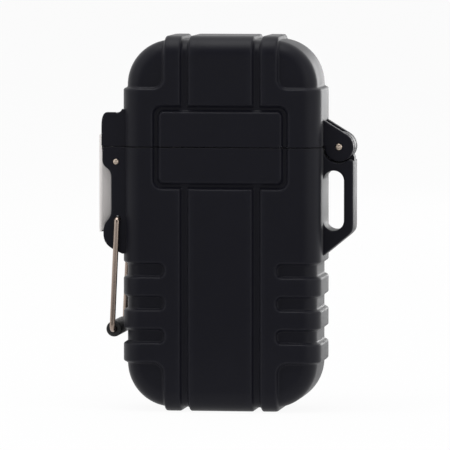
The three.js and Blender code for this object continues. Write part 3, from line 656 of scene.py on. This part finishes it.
# A round wire along a path of points.
def makeWireTree():
    inputs = [("Radius", "Float", 0.0005), ("Sides", "Int", 24)]
    tree, given, result = geometryTree("wireAlongPath", *inputs)
    path = put(tree, "GeometryNodeMeshToCurve", {"Mesh": given["Geometry"]}).outputs[0]
    circle = {"Resolution": given["Sides"], "Radius": given["Radius"]}
    section = put(tree, "GeometryNodeCurvePrimitiveCircle", circle, mode="RADIUS").outputs[0]
    swept = {"Curve": path, "Profile Curve": section, "Fill Caps": True}
    return finishTree(tree, put(tree, "GeometryNodeCurveToMesh", swept).outputs[0], given, result)


# A straight row of small blocks, such as contacts or legs.
def makeRowTree():
    inputs = [("Count", "Int", 4), *((title, "Vector", None) for title in ("Start", "Step", "Block"))]
    tree, given, result = geometryTree("rowOfBlocks", *inputs)
    line = {"Count": given["Count"], "Start Location": given["Start"], "Offset": given["Step"]}
    places = put(tree, "GeometryNodeMeshLine", line).outputs[0]
    block = put(tree, "GeometryNodeMeshCube", {"Size": given["Block"]}).outputs["Mesh"]
    blocks = put(tree, "GeometryNodeInstanceOnPoints", {"Points": places, "Instance": block})
    return finishTree(tree, blocks.outputs[0], given, result)


# The moulded pattern: each point goes in along its own outward direction by the share it carries,
# and the edge at the seam is rounded over.
def makePressTree():
    inputs = [("Recess Depth", "Float", 0.0009), ("Seam Round", "Float", 0.0002)]
    tree, given, result = geometryTree("pressedPattern", *inputs)

    def carried(name, kind="FLOAT"):
        node = put(tree, "GeometryNodeInputNamedAttribute", {"Name": name}, data_type=kind)
        return node.outputs["Attribute"]

    def calc(operation, a, b=None):
        return maths(tree, operation, a, b)

    recess = calc("MULTIPLY", carried("pressed"), given["Recess Depth"])
    size = given["Seam Round"]
    left = calc("MAXIMUM", calc("SUBTRACT", size, carried("seamNear")), 0.0)
    square = calc("SUBTRACT", calc("MULTIPLY", size, size), calc("MULTIPLY", left, left))
    turned = calc("SUBTRACT", size, calc("SQRT", calc("MAXIMUM", square, 0.0)))
    amount = calc("MULTIPLY", calc("ADD", recess, turned), -1.0)
    inward = {0: carried("outward", "FLOAT_VECTOR"), "Scale": amount}
    shift = put(tree, "ShaderNodeVectorMath", inward, operation="SCALE").outputs[0]
    moved = put(tree, "GeometryNodeSetPosition", {"Geometry": given["Geometry"], "Offset": shift})
    return finishTree(tree, moved.outputs[0], given, result)


trees = {"wire": makeWireTree(), "row": makeRowTree(), "press": makePressTree()}


def runTree(made, treeName, **values):
    tree = trees[treeName]
    modifier = made.modifiers.new(treeName, "NODES")
    modifier.node_group = tree
    titles = {item.name: item.identifier for item in tree.interface.items_tree if item.in_out == "INPUT"}
    for title, value in values.items():
        modifier[titles[title.replace("_", " ")]] = value
    return applyModifiers(made)


def wire(name, points, radius, material, sides=24):
    mesh = bpy.data.meshes.new(name)
    mesh.from_pydata([[c * mm for c in p] for p in points], [(i, i + 1) for i in range(len(points) - 1)], [])
    made = addObject(name, mesh)
    runTree(made, "wire", Radius=radius * mm, Sides=sides, Material=materials[material])
    mergeAndFace(made)
    shade(made, 50)
    return made


def row(name, count, start, step, block, material):
    made = addObject(name, bpy.data.meshes.new(name))
    start, step, block = [[c * mm for c in v] for v in (start, step, block)]
    finish = materials[material]
    return runTree(made, "row", Count=count, Start=start, Step=step, Block=block, Material=finish)


def stand(piece, body, slotName, *nodes):
    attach(piece, body)
    if nodes:
        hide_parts(*nodes)
    return piece


form = {
    "halfWidth": 21.85, "height": cadHigh.z / mm, "halfDepth": -cadLow.y / mm, "corner": 10.75,
    "roll": 4.5, "wall": 2.6, "seam": pivots["lid_hinge"][2], "seamHalf": 0.09, "seamRound": 0.13,
    "crown": 0.28,  # how far the side walls fall away from their middle line, at full depth
    "recess": 0.9,
}
pattern = {
    "panelHalf": 7.06, "grooveWidth": 1.7, "padStart": 12.5, "topPad": 11.4, "bottomPad": 10.8,
    "padCorner": 2.3, "plateHalf": 13.5, "plateRise": 7.8, "plateCorner": 1.1, "ringWidth": 1.25,
    "gripTop": 31, "gripPitch": 7.2, "gripCount": 3, "gripHalf": 1.5, "gripStart": 12.3,
    "gripCorner": 1.2, "upperFillet": 0.5, "lowerFillet": 0.45, "wallSlope": 66,
    "ringCorner": 0.9,  # how much rounder the ring's outer corners are
    "grooveCorner": 0.02,
    "crestAt": 0.75,  # where the painted edge highlight lies, as a share of half the wall's width, and how broadly
    "crestWidth": 0.16,
}
# How far apart the mesh's lines are: fine where the pattern has edges, coarse elsewhere.
spacing = {
    "fine": 0.17, "coarse": 1.4, "beltCoarse": 0.4, "endFine": 0.105, "endCoarse": 1.3,
    "margin": 0.6,  # how far the fine lines reach past an edge
    "ringInside": 1.5, "padSpan": (0.75, 3.05), "seamSpan": (0.15, 0.45), "seamLines": (0.03, 0.07, 0.12),
    "turnFine": 1.05,  # degrees, round the case's corners
    "turnCoarse": 2.4, "turnSpans": [(0, 7), (44, 90)],
    "rollSteps": 16, "innerSteps": 9,
}


def gradedLines(low, high, zones, fine, coarse):
    inside = [min(max(edge, low), high) for zone in zones for edge in zone]
    edges = sorted({low, high, *inside})
    lines = [low]
    for start, end in zip(edges, edges[1:]):
        middle = (start + end) / 2
        step = fine if any(a <= middle <= b for a, b in zones) else coarse
        count = max(1, math.ceil((end - start) / step))
        lines += [start + (end - start) * i / count for i in range(1, count + 1)]
    return lines


# How deep the pattern is at a distance inside its edge, as a share of the full recess.
def pressProfile():
    slope = math.radians(pattern["wallSlope"])
    upper, lower = pattern["upperFillet"], pattern["lowerFillet"]
    drops = [upper * (1 - math.cos(slope)), lower * (1 - math.cos(slope))]
    straight = form["recess"] - sum(drops)
    steps = [slope * i / 6 for i in range(7)]
    path = [(upper * math.sin(t), upper * (1 - math.cos(t))) for t in steps]
    across, down = path[-1]
    across += straight / math.tan(slope)
    down += straight
    for t in reversed(steps):
        back, rise = math.sin(slope) - math.sin(t), math.cos(t) - math.cos(slope)
        path.append((across + lower * back, down + lower * rise))
    run = path[-1][0]
    return [p[0] - run / 2 for p in path], [p[1] / form["recess"] for p in path]


profileAcross, profileDown = pressProfile()
profileHalf = profileAcross[-1]


# Distance inside a box with round corners, drawn as seen from the front; below 0 is outside.
def insideBox(x, z, x0, x1, z0, z1, radius):
    qx = np.abs(x - (x0 + x1) / 2) - (x1 - x0) / 2 + radius
    qz = np.abs(z - (z0 + z1) / 2) - (z1 - z0) / 2 + radius
    outside = np.hypot(np.maximum(qx, 0), np.maximum(qz, 0))
    return -(outside + np.minimum(np.maximum(qx, qz), 0) - radius)


def patternDistance(x, z):
    x = np.abs(x)
    p, seam, far = pattern, form["seam"], 60
    ring = p["ringWidth"]
    half, rise, corner = p["plateHalf"], p["plateRise"], p["plateCorner"]
    low, high = seam - rise - ring, seam + rise + ring
    outer = insideBox(x, z, -half - ring, half + ring, low, high, corner + p["ringCorner"])
    inner = insideBox(x, z, -half, half, seam - rise, seam + rise, corner)
    shapes = [np.minimum(outer, -inner)]
    middle = rise + ring / 2
    groove = (p["panelHalf"], p["panelHalf"] + p["grooveWidth"])
    shapes.append(insideBox(x, z, *groove, seam + middle, form["height"] + far, p["grooveCorner"]))
    shapes.append(insideBox(x, z, *groove, -far, seam - middle, p["grooveCorner"]))
    padTop = form["height"] - p["topPad"]
    shapes.append(insideBox(x, z, p["padStart"], far, padTop, padTop + far, p["padCorner"]))
    shapes.append(insideBox(x, z, p["padStart"], far, p["bottomPad"] - far, p["bottomPad"], p["padCorner"]))
    for i in range(p["gripCount"]):
        at = p["gripTop"] - i * p["gripPitch"]
        grip = (at - p["gripHalf"], at + p["gripHalf"])
        shapes.append(insideBox(x, z, p["gripStart"], far, *grip, p["gripCorner"]))
    return np.max(shapes, axis=0)


# Lines across the belt, from the front's flat over the roll and the side to the back's flat:
# distance out from the corner's centre, place in Y, and the outward direction.
def beltLines():
    flat = form["corner"] - form["roll"]
    near = pattern["padStart"] - (form["halfWidth"] - form["corner"])
    before, after = spacing["padSpan"]
    side = form["halfDepth"] - form["roll"]
    reaches = gradedLines(0, flat, [(near - before, near + after)], spacing["fine"], spacing["beltCoarse"])
    lines = [(r, -form["halfDepth"], 0.0, -1.0) for r in reaches]
    for i in range(1, spacing["rollSteps"] + 1):
        t = math.pi / 2 * (1 - i / spacing["rollSteps"])
        reach = flat + form["roll"] * math.cos(t)
        lines.append((reach, -side - form["roll"] * math.sin(t), math.cos(t), -math.sin(t)))
    middle = [(form["corner"], y, 1.0, 0.0) for y in np.linspace(-side, side, spacing["innerSteps"])[1:-1]]
    return lines + middle + [(r, -y, nr, -ny) for r, y, nr, ny in reversed(lines)]


def crownFall(reach, y):
    share = (reach - form["corner"] + form["roll"]) / form["roll"]
    return form["crown"] * (y / form["halfDepth"]) ** 2 * max(share, 0)


def endLines():
    near, far = pattern["panelHalf"], pattern["panelHalf"] + pattern["grooveWidth"]
    edge = form["halfWidth"] - form["corner"]
    zones = [(s * e - profileHalf, s * e + profileHalf) for e in (near, far) for s in (-1, 1)]
    return gradedLines(-edge, edge, zones, spacing["endFine"], spacing["endCoarse"])


def sideLines(start, end):
    seam, p = form["seam"], pattern
    ringEdges = [seam + s * (p["plateRise"] + k * p["ringWidth"]) for s in (-1, 1) for k in (0, 1)]
    margin, inside = spacing["margin"], spacing["ringInside"]
    near, far = spacing["seamSpan"]
    zones = [
        (ringEdges[1] - margin, ringEdges[0] + inside),
        (ringEdges[2] - inside, ringEdges[3] + margin),
        (form["height"] - p["topPad"] - margin, form["height"] - form["corner"]),
        (form["corner"], p["bottomPad"] + margin),
        (seam - far, seam - near),
        (seam + near, seam + far),
    ]
    for i in range(p["gripCount"]):
        at = p["gripTop"] - i * p["gripPitch"]
        zones.append((at - p["gripHalf"] - margin, at + p["gripHalf"] + margin))
    low, high = min(start, end), max(start, end)
    lines = gradedLines(low, high, zones, spacing["fine"], spacing["coarse"])
    extra = [start + math.copysign(d, end - start) for d in spacing["seamLines"]]
    lines = sorted({*lines, *extra})
    return lines if start < end else lines[::-1]


def cornerTurns(fine):
    if not fine:
        return [math.radians(a) for a in np.linspace(0, 90, 13)]
    turns = gradedLines(0, 90, spacing["turnSpans"], spacing["turnFine"], spacing["turnCoarse"])
    return [math.radians(a) for a in turns]


def around(side, end, turns, lift, edge, cornerZ):
    stops = [(edge, z, 1.0, 0.0) for z in side]
    stops += [(edge, cornerZ, math.cos(a), lift * math.sin(a)) for a in turns[1:]]
    stops += [(x, cornerZ, 0.0, lift) for x in end[::-1][1:]]
    stops += [(-edge, cornerZ, -math.cos(a), lift * math.sin(a)) for a in turns[::-1][1:]]
    return stops + [(-edge, z, -1.0, 0.0) for z in side[::-1][1:]]


# One half of the case: outer skin with its pattern, inner wall, and the rim between them.
def shellSkin(name, lift):
    start = form["seam"] + lift * form["seamHalf"]
    cornerZ = form["height"] - form["corner"] if lift > 0 else form["corner"]
    edge = form["halfWidth"] - form["corner"]
    belt, end = beltLines(), endLines()
    points, outward, faces, rows = [], [], [], {}

    def patch(grid, depth):
        first = len(points)
        for line in grid:
            for place, direction in line:
                points.append([c - depth * d for c, d in zip(place, direction)])
                outward.append(direction if depth == 0 else (0.0, 0.0, 0.0))
        wide = len(grid[0])
        for i in range(len(grid) - 1):
            for j in range(wide - 1):
                a = first + i * wide + j
                faces.append((a, a + 1, a + wide + 1, a + wide))
        return [list(range(first + i * wide, first + (i + 1) * wide)) for i in range(len(grid))]

    for layer, depth in (("outer", 0.0), ("inner", form["wall"])):
        fine = layer == "outer"
        side = sideLines(start, cornerZ) if fine else list(np.linspace(start, cornerZ, spacing["innerSteps"]))
        stops = around(side, end, cornerTurns(fine), lift, edge, cornerZ)
        grid = []
        for cx, cz, dx, dz in stops:
            reach = [(r - crownFall(r, y) * dx * dx, y, nr, ny) for r, y, nr, ny in belt]
            grid.append([((cx + dx * r, y, cz + dz * r), (dx * nr, ny, dz * nr)) for r, y, nr, ny in reach])
        index = patch(grid, depth)
        seamRows = [index[0], index[-1][::-1]]
        for facing in (-1.0, 1.0):
            y = facing * form["halfDepth"]
            panel = [[((x, y, z), (0.0, facing, 0.0)) for x in end] for z in side]
            seamRows.append(patch(panel, depth)[0])
        rows[layer] = seamRows
    for outer, inner in zip(rows["outer"], rows["inner"]):
        for i in range(len(outer) - 1):
            faces.append((outer[i], outer[i + 1], inner[i + 1], inner[i]))

    points, outward = np.array(points), np.array(outward)
    outside = np.linalg.norm(outward, axis=1) > 0.5
    depth = patternDistance(points[:, 0], points[:, 2])
    pressed = np.where(outside, np.interp(depth, profileAcross, profileDown), 0.0)
    # Where the crests of the pattern's edges lie, for the painted highlight along them.
    fromCrest = (depth + profileHalf * pattern["crestAt"]) / pattern["crestWidth"]
    crest = np.where(outside, np.exp(-(fromCrest ** 2)), 0.0)
    near = np.where(outside, np.abs(points[:, 2] - start) * mm, 1.0)
    made = newObject(name, points, faces, "shell")
    for title, values in (("pressed", pressed), ("crest", crest), ("seamNear", near)):
        made.data.attributes.new(title, "FLOAT", "POINT").data.foreach_set("value", values.astype(np.float32))
    layer = made.data.attributes.new("outward", "FLOAT_VECTOR", "POINT")
    layer.data.foreach_set("vector", outward.astype(np.float32).ravel())
    mergeAndFace(made)
    depths = {"Recess_Depth": form["recess"] * mm, "Seam_Round": form["seamRound"] * mm}
    runTree(made, "press", Material=materials["shell"], **depths)
    for title in ("pressed", "seamNear", "outward"):
        made.data.attributes.remove(made.data.attributes[title])
    return made


sideX, seam = form["halfWidth"], form["seam"]
rootDepth = 1.3  # how far the ears, cheeks and loop reach into the case's wall
hinge = {
    "x": pivots["lid_hinge"][0],
    "radius": 3.2, "cradle": 3.5, "half": 4.2, "knuckleHalf": 1.9, "gap": 0.3,
    "lean": 0.62,  # fall of the lid ears' top edge
    "bore": 0.84, "rim": 0.32,
    "dishGap": 0.05, "through": 6, "knuckleRim": 0.2, "neckRim": 0.15, "neckCorner": 0.8,
}
loop = {
    "outer": 28.35, "footUp": -23.8, "cornerUp": -18.5, "corner": 3, "slot": (21.8, 26.3),
    "slotTop": -5.2, "slotLength": 13.1, "rim": 0.45, "lipUp": -3.05, "lipTurn": -50,
}
latch = {
    "earY": 8.8, "innerY": 7.5, "rim": 0.28, "seamHalf": 0.025,
    "pinX": pivots["lever_pivot"][0], "pinZ": pivots["lever_pivot"][2],
    "bailX": pivots["bail_pivot"][0], "bailZ": pivots["bail_pivot"][2],
    "bore": 0.72, "pocket": 0.55, "pocketHeight": 6.3, "reach": 4.55, "bossTop": 7.5,
    "backDrop": 0.75,  # how much lower the cheek at the back is
    "valleyTop": 6.1,
    "through": 10, "keeperGap": 0.1, "keeperRim": 0.12,
}


# Points on the latch side are given as (out from the side wall, up from the seam).
def latchSide(points):
    return [(-(sideX + out), seam + up) for out, up in points]


def earOutline():
    top, lower = -latch["seamHalf"], 4.15
    points = [(-rootDepth, top), (4.1, top), (4.35, top - 0.25), (4.35, -2.9)]
    points += bend((4.35, -2.9), (4.35, -4.9), (2.4, -4.4), (2.4, -6.7))
    points.append((2.4, -14))
    points += bend((2.4, -14), (2.4, -16.2), (lower, -16), (lower, -18.7))
    points += bend((lower, -18.7), (lower + 0.05, -21.6), (2.6, -22.2), (0, -23.4))
    points.append((-rootDepth, -23.4))
    return latchSide(points)


def bossOutline(top):
    reach, low = latch["reach"], latch["seamHalf"]
    points = [(-rootDepth, low), (reach - 0.25, low), (reach, low + 0.25), (reach, top - 3)]
    points += bend((reach, top - 3), (reach, top - 1.2), (reach - 0.4, top), (reach - 1.3, top))
    points += [(1.5, top), (1.05, top - 0.2)]
    points += bend((1.05, top - 0.2), (0.6, top), (0.2, top + 0.2), (0, top + 0.7))
    points.append((-rootDepth, top + 0.7))
    return latchSide(points)


def loopOutline():
    outer, corner = loop["outer"], loop["corner"]
    slope = (loop["cornerUp"] - loop["footUp"]) / (outer - sideX)
    before = (outer - corner * 0.75, seam + loop["cornerUp"] - corner * 0.75 * slope)
    turn = (outer, seam + loop["cornerUp"])
    after = (outer, turn[1] + corner * 0.8)
    points = [(sideX - rootDepth, seam + loop["footUp"]), (sideX, seam + loop["footUp"]), before]
    points += bend(before, turn, turn, after)
    points.append((outer, seam + loop["lipUp"]))
    inner = -180 + math.degrees(math.asin(form["seamHalf"] / hinge["cradle"]))
    points += arc(hinge["x"], seam, hinge["cradle"], loop["lipTurn"], inner, 24)
    points.append((sideX - rootDepth, seam - form["seamHalf"]))
    return points


def slotOutline():
    left, right = loop["slot"]
    top = seam + loop["slotTop"]
    low, r = top - loop["slotLength"], (right - left) / 2 - 0.01
    corners = [(right - r, low + r, -90), (right - r, top - r, 0)]
    corners += [(left + r, top - r, 90), (left + r, low + r, 180)]
    return [p for x, z, start in corners for p in arc(x, z, r, start, start + 90)]


def lidEarOutline():
    radius, lean, root = hinge["radius"], hinge["lean"], sideX - rootDepth
    length = math.hypot(lean, 1)
    touch = (hinge["x"] + radius * lean / length, seam + radius / length)
    left = 180 - math.degrees(math.asin(form["seamHalf"] / radius))
    right = math.degrees(math.atan2(1, lean))
    points = [(root, seam + form["seamHalf"])] + arc(hinge["x"], seam, radius, left, right + 360, 40)
    points.append((root, touch[1] + lean * (touch[0] - root)))
    return points


def roundBar(name, radius, start, end, x, z, rim=0.0):
    return slab(name, [arc(x, z, radius, 0, 360, 48)[:-1]], start, end, rim)


def hingeBar(name, radius, half, rim=0.0):
    return roundBar(name, radius, -half, half, hinge["x"], seam, rim)


def latchBar(name, radius, half):
    return roundBar(name, radius, -half, half, latch["pinX"], latch["pinZ"])


def bothSides(near, far):
    return [(-far, -near), (near, far)]


def makeBody():
    body = shellSkin("bodyCase", -1)
    low, high, inner = seam - latch["pocketHeight"], seam + 1, latch["innerY"]
    left, right = -sideX - 1, -sideX + latch["pocket"]
    pocket = slab("pocket", [[(left, low), (right, low), (right, high), (left, high)]], -inner, inner)
    combine(body, "DIFFERENCE", [hingeBar("dish", hinge["cradle"], hinge["half"] + hinge["dishGap"]), pocket])
    adds = [slab("ear", [earOutline()], *span, latch["rim"]) for span in bothSides(inner, latch["earY"])]
    adds.append(slab("loop", [loopOutline(), slotOutline()], -hinge["half"], hinge["half"], loop["rim"]))
    wide = hinge["knuckleHalf"]
    adds.append(hingeBar("knuckle", hinge["radius"], wide, hinge["knuckleRim"]))
    low, high = seam + loop["slotTop"] + 0.6, seam - hinge["radius"] / 2
    left, right = hinge["x"] - hinge["radius"], loop["outer"]
    neck = rounded([(left, low), (right, low), (right, high), (left, high)], [0, 0, hinge["neckCorner"], 0])
    adds.append(slab("neck", [neck], -wide, wide, hinge["neckRim"]))
    combine(body, "UNION", adds)
    bores = [hingeBar("hingeBore", hinge["bore"], hinge["through"])]
    bores.append(latchBar("latchBore", latch["bore"], latch["through"]))
    for span in bothSides(inner - 0.2, latch["through"]):
        bores.append(roundBar("bailBore", latch["bore"], *span, latch["bailX"], latch["bailZ"]))
    combine(body, "DIFFERENCE", bores)
    shade(body, 34)
    return stand(body, "body", "shell", "body_shell")


def makeLid():
    lid = shellSkin("lidCase", 1)
    cheeks = bothSides(latch["innerY"], latch["earY"])
    ears = bothSides(hinge["knuckleHalf"] + hinge["gap"], hinge["half"])
    adds = []
    for drop, cheek, ear in zip((0, latch["backDrop"]), cheeks, ears):
        adds.append(slab("cheek", [bossOutline(latch["bossTop"] - drop)], *cheek, latch["rim"]))
        adds.append(slab("lidEar", [lidEarOutline()], *ear, hinge["rim"]))
    combine(lid, "UNION", adds)
    combine(lid, "DIFFERENCE", [hingeBar("hingeBore", hinge["bore"], hinge["through"])])
    shade(lid, 34)
    return stand(lid, "lid", "shell", "lid_shell")


def makeKeeper():
    reach, top = latch["reach"], latch["valleyTop"]
    points = [(0.1, 0.15), (3.7, 0.15), (3.7, 1.0), (1.8, 1.0), (1.8, 2.8), (reach, 2.8)]
    points += [(reach, top), (0.1, top)]
    radii = [0.05, 0.2, 0.2, 0.2, 0.2, 0.25, 0.5, 0.05]
    half, outline = latch["innerY"] - latch["keeperGap"], rounded(latchSide(points), radii)
    keeper = slab("latchKeeper", [outline], -half, half, latch["keeperRim"], material="shell")
    shade(keeper)
    return stand(keeper, "lid", "shell", "latch_keeper")


makeBody()
print("body case ready")
makeLid()
makeKeeper()
print("lid case ready")


pins = {"hingeRadius": 0.72, "latchRadius": 0.6, "proud": 0.15, "dome": 0.38}
lever = {
    "outer": 5.35, "sheet": 0.7, "top": 2.5, "bottom": -18.7, "half": 7.2, "bend": 1.0, "eye": 1.5,
    "hook": 0.65, "hookHeight": 1.0, "edge": 0.1,
}
springSettings = {
    "wire": 0.22, "coil": 1.06, "turns": 4, "pitch": 0.55, "upperLeg": 2.6, "lowerLeg": 6.2,
    "lowerSlant": (0.6, 0.8), "steps": 140,
}
bail = {"wire": 0.6, "legY": 9.7, "stubY": 7.8, "bend": 1.4, "shoulder": 0.9}
sleeveSettings = {"radius": 1.72, "bore": 0.72, "half": 7.2, "soft": 0.35}


def domedPin(name, radius, reach, x, z, node):
    half, dome = reach + pins["proud"], radius * pins["dome"]
    cap = [(radius * math.sin(t), half - dome + dome * math.cos(t)) for t in np.linspace(0, math.pi / 2, 9)]
    cap[0] = (0.0, half)
    profile = cap + [(r, -t) for r, t in reversed(cap)]
    pin = lathe(name, profile, x, z, 40, "pin_metal")
    shade(pin, 50)
    return stand(pin, "body", "pin_metal", node)


def makeLever():
    outer, inner = -(sideX + lever["outer"]), -sideX + latch["pocket"]
    half, sheet, bends = lever["half"], lever["sheet"], lever["bend"]
    section = [(inner, -half), (outer, -half), (outer, half), (inner, half)]
    section += [(inner, half - sheet), (outer + sheet, half - sheet)]
    section += [(outer + sheet, sheet - half), (inner, sheet - half)]
    radii = [0, bends, bends, 0, 0, bends - sheet, bends - sheet, 0]
    z0, z1 = seam + lever["bottom"], seam + lever["top"]
    piece = slab("latchLever", [rounded(section, radii, steps=10)], z0, z1, axis="z", material="lever_steel")
    band = [(lever["outer"] + 1, lever["bottom"]), (lever["outer"] + 1, lever["top"])]
    band += [(lever["outer"] - sheet, lever["top"]), (lever["outer"] - sheet, lever["bottom"])]
    side = slab("band", [latchSide(band)], -half - 1, half + 1)
    flange = [(lever["outer"] + 1, -0.8), (3.2, -0.8), (1.35, -1.8), (2.25, -6)]
    flange += [(2.25, -14.8), (4.1, -17), (4.1, -18.3), (lever["outer"] + 1, -18.3)]
    shape = rounded(latchSide(flange), [0, 0.5, 0.1, 1.5, 1.5, 0.8, 0.3, 0])
    flanges = slab("flange", [shape], -half - 1, half + 1)
    combine(side, "UNION", [flanges, latchBar("eye", lever["eye"], half + 1)])
    combine(piece, "INTERSECT", [side])
    low, high = lever["top"] - lever["hookHeight"], lever["top"]
    back = lever["outer"] - sheet
    root, tip = back + 0.35, back - lever["hook"]
    hook = [(root, low), (root, high), (tip, high - 0.25), (tip, low)]
    tab = slab("hook", [rounded(latchSide(hook), [0, 0, 0.3, 0.3])], 1 - half, half - 1, 0.15)
    combine(piece, "UNION", [tab])
    combine(piece, "DIFFERENCE", [latchBar("pinBore", latch["bore"], latch["through"])])
    mergeAndFace(piece, 1e-6)
    bevelEdges(piece, lever["edge"])
    shade(piece, 40)
    return stand(piece, "lever", "lever_steel", "latch_lever")


def makeSpring():
    s = springSettings
    legX, legZ = s["lowerSlant"]
    lean = math.atan2(legX, legZ)
    sweep = s["turns"] * 2 * math.pi + lean
    width = sweep / (2 * math.pi) * s["pitch"]
    steps = s["steps"]
    points = [(s["coil"], -width / 2, s["upperLeg"])]
    for i in range(steps + 1):
        turn = -sweep * i / steps
        points.append((s["coil"] * math.cos(turn), width * (i / steps - 0.5), s["coil"] * math.sin(turn)))
    end = points[-1]
    points.append((end[0] - legX * s["lowerLeg"], end[1], end[2] - legZ * s["lowerLeg"]))
    placed = [(x + latch["pinX"], y, z + latch["pinZ"]) for x, y, z in points]
    piece = wire("latchSpring", placed, s["wire"], "wire_steel", 12)
    return stand(piece, "lever", "wire_steel", "latch_spring")


def makeBail():
    away, down = pivots["sleeve_roll"][0] - latch["bailX"], pivots["sleeve_roll"][2] - latch["bailZ"]
    legY, stubY = bail["legY"], bail["stubY"]
    corners = [(0, -stubY, 0), (0, -legY, 0), (away, -legY, down)]
    corners += [(x, -y, z) for x, y, z in corners[::-1]]
    radii = [0, bail["shoulder"], bail["bend"], bail["bend"], bail["shoulder"], 0]
    path = rounded(corners, radii, closed=False, steps=12)
    placed = [(x + latch["bailX"], y, z + latch["bailZ"]) for x, y, z in path]
    piece = wire("bailWire", placed, bail["wire"], "wire_steel", 32)
    return stand(piece, "bail", "wire_steel", "bail_wire")


def makeSleeve():
    s = sleeveSettings
    half = s["half"]
    profile = [(s["bore"], -half), (s["radius"], -half), (s["radius"], half), (s["bore"], half)]
    x, _, z = pivots["sleeve_roll"]
    smooth = rounded(profile, [0.1, s["soft"], s["soft"], 0.1])
    piece = lathe("bailSleeve", smooth, x, z, 64, "rubber", closed=True)
    shade(piece, 50)
    return stand(piece, "roller", "rubber", "bail_sleeve")


domedPin("hingePin", pins["hingeRadius"], hinge["half"], hinge["x"], seam, "hinge_pin")
domedPin("latchPin", pins["latchRadius"], latch["earY"], latch["pinX"], latch["pinZ"], "latch_pin")
makeLever()
makeSpring()
makeBail()
makeSleeve()
print("latch and bail ready")


# A CAD solid with its loose triangles merged, its flats made whole and its edges softened.
def softCopy(name, node, material, edge):
    mesh = frame["nodes"][node].data.copy()
    copy = addObject(name, mesh)
    bm = bmesh.new()
    bm.from_mesh(mesh)
    bmesh.ops.remove_doubles(bm, verts=bm.verts, dist=1e-7)
    bmesh.ops.dissolve_limit(bm, angle_limit=math.radians(0.5), verts=bm.verts, edges=bm.edges)
    bm.to_mesh(mesh)
    bm.free()
    mesh.materials.clear()
    mesh.materials.append(materials[material])
    if edge > 0:
        bevelEdges(copy, edge, 50)
    shade(copy)
    body = next(b for b, nodes in frame["record"]["behaviour"]["bodies"].items() if node in nodes)
    return stand(copy, body, material, node)


def spoken(node):
    first, *rest = node.split("_")
    return first + "".join(word.capitalize() for word in rest)


renamed = {
    "arc_transformer_1": "transformerLower",
    "arc_transformer_2": "transformerUpper",
    "deck_screw_1": "deckScrewLeft",
    "deck_screw_2": "deckScrewRight",
}
# Node, finish and width of the softened edges in millimetres.
softNodes = [
    ("neck_frame", "frame", 0.12),
    ("neck_seal", "seal", 0.25),
    ("deck_plate", "trim", 0.1),
    ("ceramic_head", "ceramic", 0.15),
    ("lid_liner", "liner", 0.0),
    ("tact_switch", "trim", 0.0),
    ("top_board", "board", 0.0),
    ("main_board", "board", 0.0),
    ("controller_chip", "trim", 0.1),
    ("battery_cell", "cell", 0.3),
    ("arc_transformer_1", "potting", 0.3),
    ("arc_transformer_2", "potting", 0.3),
    ("deck_screw_1", "steel", 0.0),
    ("deck_screw_2", "steel", 0.0),
    ("usb_socket", "steel", 0.0),
    ("charge_light", "lens", 0.0),
    ("ignition_button", "button_metal", 0.0),
]
for i in range(1, 5):
    softNodes += [(f"electrode_{i}", "tungsten", 0.0), (f"high_voltage_lead_{i}", "lead", 0.0)]
for node, finish, edge in softNodes:
    softCopy(renamed.get(node, spoken(node)), node, finish, edge)

# Rows of eight blocks, each row centred on the middle of its run.
rowCount = 8
contacts = {"step": 0.75, "size": (0.06, 0.38, 2.8), "faces": (12.84, 13.56), "z": 59.1}
chipLegs = {"step": 0.85, "size": (0.32, 0.2, 0.9), "ends": (31.75, 39.25), "y": 4.45}
for side, x in zip(("Left", "Right"), contacts["faces"]):
    first = (x, -contacts["step"] * (rowCount - 1) / 2, contacts["z"])
    strip = row("socketContacts" + side, rowCount, first, (0, contacts["step"], 0), contacts["size"], "gold")
    stand(strip, "body", "steel")
for side, z in zip(("Lower", "Upper"), chipLegs["ends"]):
    first = (-chipLegs["step"] * (rowCount - 1) / 2, chipLegs["y"], z)
    legs = row("chipLegs" + side, rowCount, first, (chipLegs["step"], 0, 0), chipLegs["size"], "steel")
    stand(legs, "body", "steel")
print("deck and inside ready")
